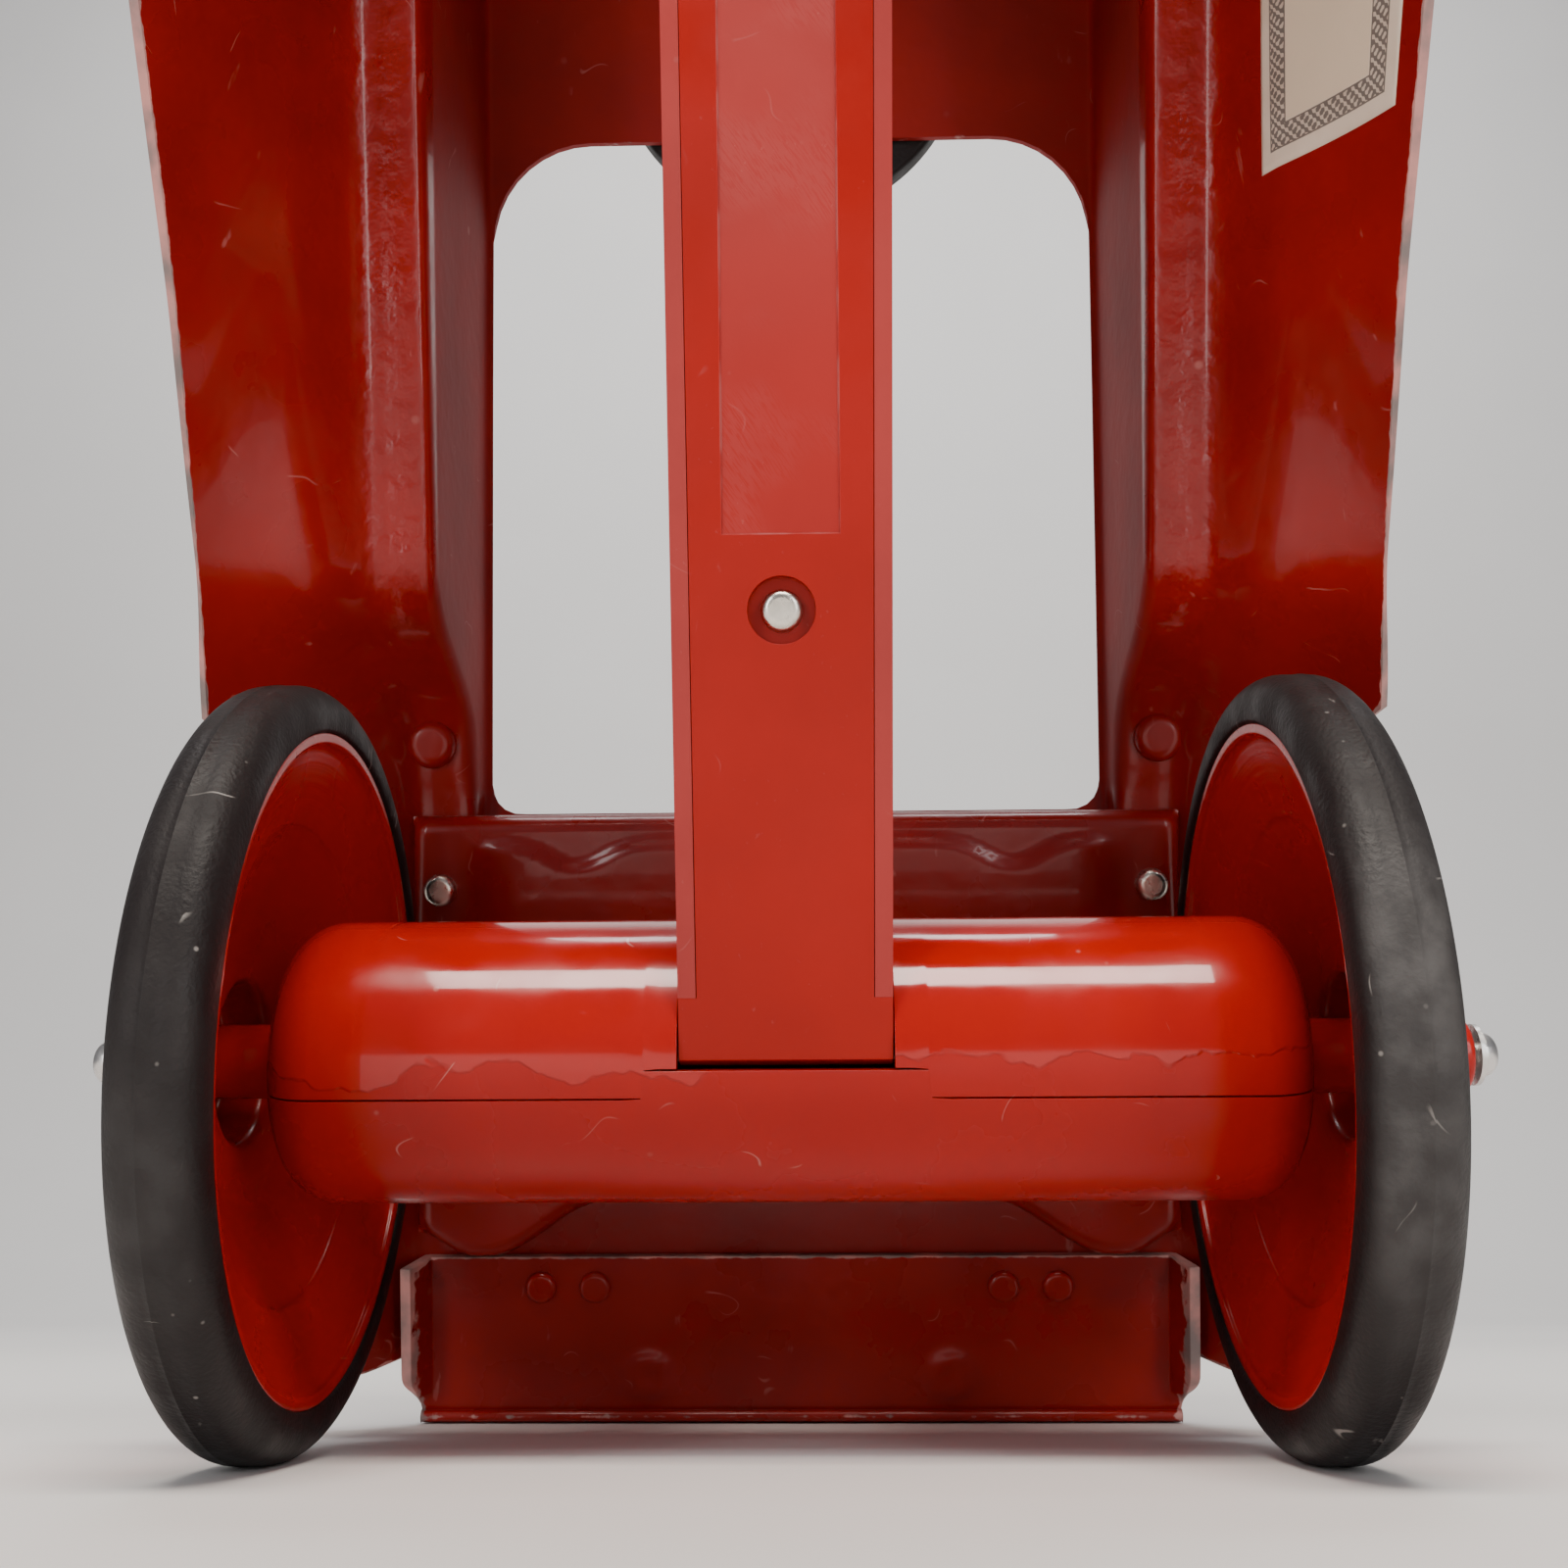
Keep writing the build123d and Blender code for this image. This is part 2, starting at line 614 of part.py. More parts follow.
def hub(side):
    """A dished wheel disc with a rim, a pocket and a long boss, turned about the axle."""
    rim_inner = tyre_inner_x + rim_inset
    rim_outer = tyre_inner_x + tyre_width - rim_inset
    dish_x = rim_inner + hub_shoulder + rim_inset
    shoulder_x = hub_cone_x + hub_shoulder
    shoulder_radius = hub_cone_radius - hub_shoulder / 2
    seat = wheel_radius - tyre_height - touch_gap
    lip = seat - hub_lip
    bore = hub_bush_radius
    points = [
        (rim_inner, seat), (rim_inner, lip), (dish_x, lip),
        (hub_cone_x, hub_cone_radius), (shoulder_x, shoulder_radius),
        (hub_floor_x, hub_floor_radius), (hub_floor_x, hub_pocket_radius),
        (hub_pocket_x, hub_pocket_radius), (hub_pocket_x, boss_radius),
        (boss_inner_x, boss_radius), (boss_inner_x, bore),
        (boss_outer_x, bore), (boss_outer_x, boss_radius), (hub_pocket_x + hub_wall, boss_radius),
        (hub_pocket_x + hub_wall, hub_pocket_radius + hub_wall),
        (hub_floor_x + hub_wall, hub_pocket_radius + hub_wall),
        (hub_floor_x + hub_wall, hub_floor_radius + hub_shoulder),
        (shoulder_x + hub_wall, shoulder_radius + hub_shoulder),
        (hub_cone_x + hub_wall, hub_cone_radius + 2 * hub_shoulder),
        (dish_x + hub_wall, lip), (rim_outer, lip), (rim_outer, seat),
    ]
    turned([(side * x, radius) for x, radius in points])


def tyre(side):
    """A rubber tyre with rounded shoulders."""
    seat = wheel_radius - tyre_height
    with BuildSketch(level(0)) as band:
        with Locations((side * (tyre_inner_x + tyre_width / 2), (seat + wheel_radius) / 2)):
            Rectangle(tyre_width, tyre_height)
        fillet(vertices().group_by(Axis.Y)[-1], tyre_shoulder)
    revolve(band.sketch, axis=axle_line)


def hub_bush(side):
    """A plain bush pressed in the boss of the hub, which turns on the axle."""
    inner, outer = side * boss_inner_x, side * boss_outer_x
    bore = axle_radius + running_fit
    shell = hub_bush_radius - touch_gap
    turned([(inner, bore), (inner, shell), (outer, shell), (outer, bore)])


with BuildPart() as axle_bush_left:
    axle_bush(-1)
    axle_bush_left.part.label = "axle_bush_left"

with BuildPart() as axle_bush_right:
    axle_bush(1)
    axle_bush_right.part.label = "axle_bush_right"

with BuildPart() as wheel_hub_left:
    hub(-1)
    wheel_hub_left.part.label = "wheel_hub_left"

with BuildPart() as wheel_hub_right:
    hub(1)
    wheel_hub_right.part.label = "wheel_hub_right"

with BuildPart() as tyre_left:
    tyre(-1)
    tyre_left.part.label = "tyre_left"

with BuildPart() as tyre_right:
    tyre(1)
    tyre_right.part.label = "tyre_right"

with BuildPart() as hub_bush_left:
    hub_bush(-1)
    hub_bush_left.part.label = "hub_bush_left"

with BuildPart() as hub_bush_right:
    hub_bush(1)
    hub_bush_right.part.label = "hub_bush_right"

# ---- Bumper pad on the front of the shell --------------------------------------------------

with BuildPart() as bumper_pad:
    rods(facing(bumper_rear + bumper_thickness), [(0, bumper_height)], bumper_radius,
         bumper_thickness - touch_gap)
    fillet(edges().group_by(ahead_line)[-1], bumper_round)
    fillet(edges().group_by(ahead_line)[0], bumper_rear_round)
    rods(facing(bumper_rear + bumper_thickness), [(0, bumper_height)], counterbore_radius,
         bumper_recess, Mode.SUBTRACT)
    rods(facing(bumper_rear + bumper_thickness), [(0, bumper_height)], screw_radius + slide_gap,
         20, Mode.SUBTRACT)
    bumper_pad.part.label = "bumper_pad"

with BuildPart() as bumper_screw:
    pan_screws(facing_back(bumper_rear + bumper_thickness - bumper_recess), [(0, bumper_height)],
               bumper_thickness + frame_sheet + 1)
    rods(facing(web_top_depth - slide_gap), [(0, bumper_height)], nut_radius, nut_thickness)
    bumper_screw.part.label = "bumper_screw"

# ---- Handle --------------------------------------------------------------------------------


def tube(plane, place, radius, length):
    """A straight steel tube from a plane along its normal."""
    rods(plane, [place], radius, length)
    rods(plane, [place], radius - tube_wall, length, Mode.SUBTRACT)


with BuildPart() as handle_post:
    tube(level(post_foot), (0, post_depth), post_radius, bar_height - post_radius - 1 - post_foot)
    rods(facing(spine_front), post_screw_places, screw_radius + touch_gap, 12, Mode.SUBTRACT)
    handle_post.part.label = "handle_post"

with BuildPart() as handle_bar:
    tube(across(-bar_half), (post_depth, bar_height), post_radius, 2 * bar_half)
    handle_bar.part.label = "handle_bar"

with BuildPart() as handle_tee:
    rods(level(tee_foot), [(0, post_depth)], tee_radius, bar_height - tee_foot)
    rods(across(-tee_half), [(post_depth, bar_height)], tee_radius, 2 * tee_half)
    fillet(edges().filter_by(GeomType.CIRCLE), tee_round)
    rods(across(-tee_half), [(post_depth, bar_height)], post_radius + touch_gap, 2 * tee_half,
         Mode.SUBTRACT)
    rods(level(tee_foot), [(0, post_depth)], post_radius + touch_gap,
         bar_height - tee_foot - post_radius - 0.9, Mode.SUBTRACT)
    handle_tee.part.label = "handle_tee"


def grip(side):
    """A rubber sleeve with a closed, rounded outer end."""
    start = side * grip_half_gap
    length = bar_half + grip_end_wall - grip_half_gap
    normal = right * side
    seat = Plane(axle_centre + right * start, x_dir=ahead, z_dir=normal)
    rods(seat, [(post_depth, bar_height_on(seat))], grip_radius, length)
    ends = edges().filter_by(GeomType.CIRCLE).sort_by(Axis(seat.origin, normal))
    fillet(ends[-1], grip_end_round)
    fillet(edges().filter_by(GeomType.CIRCLE).sort_by(Axis(seat.origin, normal))[0], 1.0)
    rods(seat, [(post_depth, bar_height_on(seat))], post_radius + touch_gap,
         bar_half - grip_half_gap + touch_gap, Mode.SUBTRACT)


def bar_height_on(seat):
    """The bar's height in a plane square to it, whose second axis may point up or down."""
    return bar_height if seat.y_dir.dot(up) > 0 else -bar_height


with BuildPart() as grip_left:
    grip(-1)
    grip_left.part.label = "grip_left"

with BuildPart() as grip_right:
    grip(1)
    grip_right.part.label = "grip_right"

with BuildPart() as post_screws:
    pan_screws(facing_back(spine_front), post_screw_places, 8)
    post_screws.part.label = "post_screws"

# ---- Write every piece ---------------------------------------------------------------------

pieces = (
    frame_shell, frame_rivets, cross_plate, cross_plate_screws, toe_plate, toe_plate_rivets,
    spine_channel, spine_cover, cover_screws, spine_top_screws, housing_upper, housing_lower,
    axle_saddle_left, axle_saddle_right, saddle_screws, axle_rod, axle_caps, axle_washers,
    axle_bush_left, axle_bush_right, wheel_hub_left, wheel_hub_right, tyre_left, tyre_right,
    hub_bush_left, hub_bush_right, bumper_pad, bumper_screw, handle_post, handle_bar,
    handle_tee, grip_left, grip_right, post_screws,
)
os.makedirs("parts", exist_ok=True)
for piece in pieces:
    export_step(piece.part, f"parts/{piece.part.label}.step")
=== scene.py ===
import math
from functools import partialmethod
from types import SimpleNamespace

import bmesh
import bpy
import numpy as np
from bpy.props import FloatProperty, FloatVectorProperty, PointerProperty
from bpy.types import Operator, Panel, PropertyGroup
from mathutils import Matrix, Vector


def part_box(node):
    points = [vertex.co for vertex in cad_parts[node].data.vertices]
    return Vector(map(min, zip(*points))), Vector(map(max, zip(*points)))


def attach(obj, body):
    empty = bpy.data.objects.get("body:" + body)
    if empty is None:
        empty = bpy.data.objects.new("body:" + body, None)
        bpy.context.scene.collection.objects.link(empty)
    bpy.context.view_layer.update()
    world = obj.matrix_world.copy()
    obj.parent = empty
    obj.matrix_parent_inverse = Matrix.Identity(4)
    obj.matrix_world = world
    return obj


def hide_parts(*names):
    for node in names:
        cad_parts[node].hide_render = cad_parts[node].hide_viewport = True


bl_info = {
    "name": "Hand truck looks",
    "version": (1, 0, 0),
    "blender": (4, 5, 0),
    "location": "3D View > Sidebar > Hand truck",
    "description": "Builds the visible surfaces of a small hand truck around its CAD frame",
    "category": "Object",
}

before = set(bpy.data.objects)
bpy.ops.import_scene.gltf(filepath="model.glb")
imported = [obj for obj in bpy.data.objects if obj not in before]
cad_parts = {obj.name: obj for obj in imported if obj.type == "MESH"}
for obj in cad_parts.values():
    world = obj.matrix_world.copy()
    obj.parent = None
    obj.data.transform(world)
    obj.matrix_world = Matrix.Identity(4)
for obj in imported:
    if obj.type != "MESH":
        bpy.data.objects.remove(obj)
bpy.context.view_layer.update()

# ---- The truck's leaning frame

MM = 0.001
LEAN = math.radians(17.791)
AXLE = np.array(sum(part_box("axle_rod"), Vector()) / 2)
RIGHT = np.array((1.0, 0.0, 0.0))
AHEAD = np.array((0.0, math.cos(LEAN), math.sin(LEAN)))
UP = np.array((0.0, -math.sin(LEAN), math.cos(LEAN)))


def place(x, depth, height):
    """World points in metres from distances in millimetres: x to the right, depth towards the
    load and height along the spine, all three from the middle of the axle."""
    x, depth, height = np.broadcast_arrays(x, depth, height)
    return AXLE + MM * (x[..., None] * RIGHT + depth[..., None] * AHEAD + height[..., None] * UP)


def lengths(context):
    """The size settings in millimetres, each by its own name."""
    sizes = context.scene.truck_sizes
    return SimpleNamespace(**{key: round(getattr(sizes, key) / MM, 4)
                              for key in TruckSizes.__annotations__})


# ---- Curves and grids


def parabola(s, p, e, t):
    """The point at t on the parabola from s to e whose corner is p."""
    return (1 - t) ** 2 * s + 2 * t * (1 - t) * p + t**2 * e


def rounded(points, reach, steps=5):
    """A closed outline with soft corners: corner p becomes the parabola
    (1-t)^2 s + 2t(1-t) p + t^2 e, where s and e lie a reach from p along its two sides."""
    p = np.array(points, float)
    reach = np.broadcast_to(reach, len(p))[:, None]
    before, after = np.roll(p, 1, 0), np.roll(p, -1, 0)
    to_before, to_after = before - p, after - p
    s = p + to_before * np.minimum(reach / np.linalg.norm(to_before, axis=1, keepdims=True), 0.45)
    e = p + to_after * np.minimum(reach / np.linalg.norm(to_after, axis=1, keepdims=True), 0.45)
    t = np.linspace(0, 1, steps)[None, :, None]
    return parabola(s[:, None], p[:, None], e[:, None], t).reshape(-1, 2)


def revolved(outline, centre, axis, start, steps):
    """A grid of world points: each (along, radius) of the outline is carried round an axis, so
    point = centre + along * axis + radius * (cos(a) * start + sin(a) * (axis x start))."""
    along, radius = MM * outline[:, 0], MM * outline[:, 1]
    turn = np.linspace(0, 2 * np.pi, steps, endpoint=False)
    side = np.cross(axis, start)
    spokes = np.cos(turn)[:, None] * start + np.sin(turn)[:, None] * side
    return centre + along[None, :, None] * axis + radius[None, :, None] * spokes[:, None, :]


def grid_faces(rows, columns, wrap_rows=False, wrap_columns=False):
    """The four corner numbers of every cell of a grid of points, as (rows, columns, 4)."""
    i, j = np.meshgrid(np.arange(rows - (not wrap_rows)), np.arange(columns - (not wrap_columns)),
                       indexing="ij")
    next_i, next_j = (i + 1) % rows, (j + 1) % columns
    return np.stack([i * columns + j, i * columns + next_j, next_i * columns + next_j,
                     next_i * columns + j], -1)


def eased(height, heights, values, reach=5.0):
    """Values given at heights, joined by straight runs whose corners are softened by taking
    the mean over a reach either side."""
    offsets = np.linspace(-reach, reach, 9)
    return np.mean([np.interp(height + o, heights, values) for o in offsets], axis=0)


def smooth_step(low, high, value):
    """0 below low, 1 above high, and 3t^2 - 2t^3 between them."""
    t = np.clip((value - low) / (high - low), 0, 1)
    return t * t * (3 - 2 * t)


# ---- Pieces


def merged(mesh, flat=None, outward=True):
    """Joins a mesh's doubled points, and its flat faces where an angle is given, and points
    the faces outwards."""
    work = bmesh.new()
    work.from_mesh(mesh)
    bmesh.ops.remove_doubles(work, verts=work.verts, dist=2e-6)
    bmesh.ops.dissolve_degenerate(work, edges=work.edges, dist=1e-7)
    if flat is not None:
        bmesh.ops.dissolve_limit(work, angle_limit=flat, verts=work.verts, edges=work.edges)
    if outward:
        bmesh.ops.recalc_face_normals(work, faces=work.faces)
    work.to_mesh(mesh)
    work.free()


def shade(mesh, crease=35.0):
    """Smooth shading with sharp edges where faces meet at more than the crease angle."""
    for name in ("custom_normal", "sharp_face", "sharp_edge"):
        if name in mesh.attributes:
            mesh.attributes.remove(mesh.attributes[name])
    mesh.shade_smooth()
    mesh.set_sharp_from_angle(angle=math.radians(crease))


def new_piece(name, points, faces, crease=35.0, outward=True, **marks):
    """An object from a grid's points and faces. Each mark is one number per point, kept as
    an attribute that the materials read."""
    mesh = bpy.data.meshes.new(name)
    mesh.from_pydata(points.reshape(-1, 3).tolist(), [], faces.reshape(-1, 4).tolist())
    for mark, values in marks.items():
        layer = mesh.attributes.new(mark, "FLOAT", "POINT")
        layer.data.foreach_set("value", np.ascontiguousarray(values, np.float32).ravel())
    merged(mesh, outward=outward)
    shade(mesh, crease)
    return bpy.data.objects.new(name, mesh)


def turned_piece(name, outline, centre, axis, start, steps, crease, **marks):
    """An object from an outline carried round an axis. Each mark is one number per point of
    the outline."""
    points = revolved(outline, centre, axis, start, steps)
    grid = points.shape[:2]
    marks = {mark: np.broadcast_to(values, grid) for mark, values in marks.items()}
    return new_piece(name, points, grid_faces(*grid, True, True), crease, **marks)


def refined_copy(node, name):
    """A piece with a CAD node's shape, its triangles merged into whole flat faces."""
    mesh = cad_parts[node].data.copy()
    mesh.name = name
    merged(mesh, flat=math.radians(0.6))
    shade(mesh, 28.0)
    return bpy.data.objects.new(name, mesh)


def thicken(piece, sheet):
    """Gives an open sheet its thickness, on the side its faces point away from."""
    solid = piece.modifiers.new("Sheet", "SOLIDIFY")
    solid.thickness = sheet * MM
    solid.offset = -1.0
    solid.use_even_offset = True
    solid.use_rim = True


def soften(piece, width, segments=2, angle=40.0):
    """Rounds a piece's edges."""
    bevel = piece.modifiers.new("Edges", "BEVEL")
    bevel.width = width * MM
    bevel.segments = segments
    bevel.limit_method = "ANGLE"
    bevel.angle_limit = math.radians(angle)
    bevel.harden_normals = True


def settle(piece, body, slot, material, *nodes):
    """Puts a finished piece in the scene with a material, riding on a body in place of CAD
    nodes."""
    bpy.context.scene.collection.objects.link(piece)
    piece.data.materials.clear()
    piece.data.materials.append(material_for(material))
    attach(piece, body)
    if nodes:
        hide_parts(*nodes)


def finish_nodes(material, *nodes):
    """Gives CAD nodes a material and leaves their shape as it is."""
    for node in nodes:
        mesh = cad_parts[node].data
        mesh.materials.clear()
        mesh.materials.append(material_for(material))


# ---- Shader node groups


class Graph:
    """Writes a node tree. Where a method takes a value, a socket or a plain number will do."""

    def __init__(self, tree):
        self.tree = tree

    def fill(self, node, inputs):
        """Links each input of a node to a socket, or sets it to a value."""
        for key, value in inputs.items():
            if isinstance(value, bpy.types.NodeSocket):
                self.link(value, node.inputs[key])
            else:
                node.inputs[key].default_value = value

    def node(self, kind, inputs=None, **settings):
        """A new shader node with its inputs and settings."""
        made = self.tree.nodes.new("ShaderNode" + kind)
        for key, value in settings.items():
            setattr(made, key, value)
        self.fill(made, inputs or {})
        return made

    def link(self, source, target):
        """Joins an output to an input."""
        self.tree.links.new(source, target)

    def math(self, operation, a, b=0.0):
        """The result of a math node."""
        return self.node("Math", {0: a, 1: b}, operation=operation).outputs[0]

    times = partialmethod(math, "MULTIPLY")
    plus = partialmethod(math, "ADD")
    minus = partialmethod(math, "SUBTRACT")
    most = partialmethod(math, "MAXIMUM")
    least = partialmethod(math, "MINIMUM")
    absolute = partialmethod(math, "ABSOLUTE")
    sine = partialmethod(math, "SINE")

    def span(self, value, low, high, to_low=0.0, to_high=1.0):
        """A smooth step from to_low to to_high as a value goes from low to high."""
        return self.node("MapRange", {"Value": value, "From Min": low, "From Max": high,
                                      "To Min": to_low, "To Max": to_high},
                         interpolation_type="SMOOTHSTEP").outputs[0]

    def noise(self, vector, scale, detail):
        """Noise between 0 and 1 at a point."""
        inputs = {"Vector": vector, "Scale": scale, "Detail": detail}
        return self.node("TexNoise", inputs).outputs[0]

    def mix(self, factor, a, b):
        """A colour between a and b."""
        a, b = (c if isinstance(c, bpy.types.NodeSocket) else (*c[:3], 1.0) for c in (a, b))
        made = self.node("Mix", {"Factor": factor}, data_type="RGBA")
        self.fill(made, {6: a, 7: b})
        return made.outputs[2]

    def group(self, name, vector, **inputs):
        """The output of a shared node group."""
        made = self.tree.nodes.new("ShaderNodeGroup")
        made.node_tree = bpy.data.node_groups[name]
        self.fill(made, {"Vector": vector, **inputs})
        return made.outputs[0]


def new_group(name, result, **inputs):
    """An empty node group with a Vector input, other inputs by name and default, and one output.
    Returns its graph, its vector, its inputs and its output."""
    tree = bpy.data.node_groups.new(name, "ShaderNodeTree")
    tree.interface.new_socket("Vector", in_out="INPUT", socket_type="NodeSocketVector")
    for label, default in inputs.items():
        kind = "NodeSocketVector" if isinstance(default, tuple) else "NodeSocketFloat"
        tree.interface.new_socket(label, in_out="INPUT", socket_type=kind).default_value = default
    tree.interface.new_socket(result, in_out="OUTPUT", socket_type="NodeSocketFloat")
    graph = Graph(tree)
    source, sink = (tree.nodes.new("NodeGroup" + end) for end in ("Input", "Output"))
    return graph, source.outputs["Vector"], source.outputs, sink.inputs[0]


def build_groups():
    """The effects that several materials share."""
    g, at, given, out = new_group("mottle", "Value", Scale=40.0, Low=0.0, High=1.0)
    cloud = g.noise(at, given["Scale"], 4.0)
    g.link(g.span(cloud, 0.32, 0.68, given["Low"], given["High"]), out)

    g, at, given, out = new_group("scratches", "Mask", Turn=(0.0, 0.0, 0.0),
                                  Stretch=(900.0, 900.0, 30.0), Cut=0.66)
    turned_vector = g.node("Mapping", {"Vector": at, "Rotation": given["Turn"]})
    stretched = g.node("Mapping", {"Vector": turned_vector.outputs[0], "Scale": given["Stretch"]})
    lines = g.noise(stretched.outputs[0], 1.0, 3.0)
    patches = g.span(g.noise(at, 70.0, 2.0), 0.42, 0.62)
    upper = g.plus(given["Cut"], 0.07)
    g.link(g.times(g.span(lines, given["Cut"], upper), patches), out)

    g, at, given, out = new_group("dust", "Mask", Scale=260.0, Share=0.2)
    cells = g.node("TexVoronoi", {"Vector": at, "Scale": given["Scale"]})
    chosen = g.node("SeparateColor", {"Color": cells.outputs["Color"]})
    dot = g.span(cells.outputs["Distance"], 0.16, 0.05)
    kept = g.span(chosen.outputs[0], g.minus(1.0, given["Share"]), 1.0)
    fibre = g.span(g.absolute(g.minus(g.noise(at, 95.0, 1.0), 0.5)), 0.006, 0.002)
    rare = g.span(g.noise(at, 130.0, 1.0), 0.63, 0.7)
    specks = g.times(dot, kept)
    g.link(g.most(specks, g.times(fibre, rare)), out)

    g, at, given, out = new_group("worn_edge", "Mask", Edge=0.0, Scale=320.0, Reach=0.5)
    chips = g.noise(at, given["Scale"], 4.0)
    level = g.plus(given["Edge"], g.times(g.minus(chips, 0.5), 1.1))
    g.link(g.span(level, given["Reach"], g.plus(given["Reach"], 0.18)), out)

    g, at, given, out = new_group("rings", "Height", Centre=(0.0, 0.0, 0.0), Scale=420.0)
    arm = g.node("VectorMath", {0: at, 1: given["Centre"]}, operation="SUBTRACT")
    flat = g.node("VectorMath", {0: arm.outputs[0], 1: (0.0, 1.0, 1.0)}, operation="MULTIPLY")
    radius = g.node("VectorMath", {0: flat.outputs[0]}, operation="LENGTH").outputs["Value"]
    swirl = g.plus(radius, g.times(g.noise(at, 12.0, 1.0), 0.002))
    ripple = g.node("CombineXYZ", {"X": g.times(swirl, given["Scale"])})
    g.link(g.noise(ripple.outputs[0], 1.0, 3.0), out)

    g, at, given, out = new_group("orange_peel", "Height", Scale=320.0)
    fine = g.noise(at, given["Scale"], 1.0)
    broad = g.noise(at, 55.0, 1.0)
    g.link(g.plus(g.times(fine, 0.35), broad), out)


# ---- Materials


class Surface(Graph):
    """The graph of a new material with a Principled shader, read at the object coordinates."""

    def __init__(self, name, roughness, **shader_inputs):
        self.material = bpy.data.materials.new(name)
        self.material.use_nodes = True
        super().__init__(self.material.node_tree)
        self.feed(Roughness=roughness, **shader_inputs)
        self.at = self.node("TexCoord").outputs["Object"]

    def feed(self, **inputs):
        """Fills or links the shader's inputs, named with _ for each space."""
        self.fill(self.tree.nodes["Principled BSDF"],
                  {key.replace("_", " "): value for key, value in inputs.items()})

    def finished(self, height, distance):
        """Feeds a height into the shader's normal and returns the material."""
        bump = self.node("Bump", {"Height": height, "Distance": distance, "Strength": 1.0})
        self.feed(Normal=bump.outputs[0])
        return self.material

    def axes(self):
        """Distances in millimetres from the middle of the axle, as x, depth and height."""
        local = self.node("VectorMath", {0: self.at, 1: tuple(AXLE)}, operation="SUBTRACT")
        return [self.times(self.node("VectorMath", {0: local.outputs[0], 1: tuple(axis)},
                                     operation="DOT_PRODUCT").outputs["Value"], 1 / MM)
                for axis in (RIGHT, AHEAD, UP)]

    def mark(self, name):
        """A number that the piece carries at each point."""
        return self.node("Attribute", attribute_name=name,
                         attribute_type="GEOMETRY").outputs["Fac"]

    def grain(self, scale, detail):
        """Noise at the object coordinates."""
        return self.noise(self.at, scale, detail)

    def mottle(self, scale, low=0.0, high=1.0):
        """Soft clouds between two values."""
        return self.group("mottle", self.at, Scale=scale, Low=low, High=high)

    def dust(self, scale, share):
        """Specks in a share of the cells, and a few fibres."""
        return self.group("dust", self.at, Scale=scale, Share=share)

    def scratches(self, stretch, cut, turn=(0.0, 0.0, 0.0)):
        """Patches of fine lines."""
        return self.group("scratches", self.at, Turn=turn, Stretch=stretch, Cut=cut)


def enamel(name, colour, worn, deep=0.75):
    """Gloss enamel on pressed steel: an uneven film, rubbed through to primer along cut edges."""
    g = Surface(name, 0.2, Coat_Roughness=0.06, Specular_IOR_Level=0.3)
    dark = tuple(c * deep for c in colour)
    paint = g.mix(g.mottle(32.0), dark, colour)
    edge = g.group("worn_edge", g.at, Edge=g.mark("edge"), Scale=420.0, Reach=0.62)
    fleck = g.dust(180.0, 0.1)
    scuff = g.scratches((420.0, 420.0, 60.0), 0.7)
    grey = g.mix(g.mottle(150.0), (0.22, 0.17, 0.16), worn)
    paint = g.mix(g.times(g.most(fleck, scuff), 0.25), paint, worn)
    g.feed(Base_Color=g.mix(edge, paint, grey))
    rough = g.mottle(90.0, 0.24, 0.4)
    x, depth, level = g.axes()
    inner = g.times(g.span(g.absolute(x), 56.5, 55.0), g.span(depth, 30.5, 34.0))
    inner = g.times(inner, g.span(level, 32.0, 36.0))
    dull = g.most(g.times(edge, 0.6), g.times(inner, 0.62))
    g.feed(Roughness=g.most(rough, dull))
    clear = g.times(g.span(edge, 0.0, 1.0, 0.22, 0.0), g.minus(1.0, inner))
    g.feed(Coat_Weight=clear)
    peel = g.group("orange_peel", g.at, Scale=330.0)
    press = g.times(g.grain(240.0, 3.0), g.times(g.mark("press"), 3.2))
    height = g.plus(g.plus(peel, press), g.times(edge, -0.25))
    return g.finished(height, 0.0003)


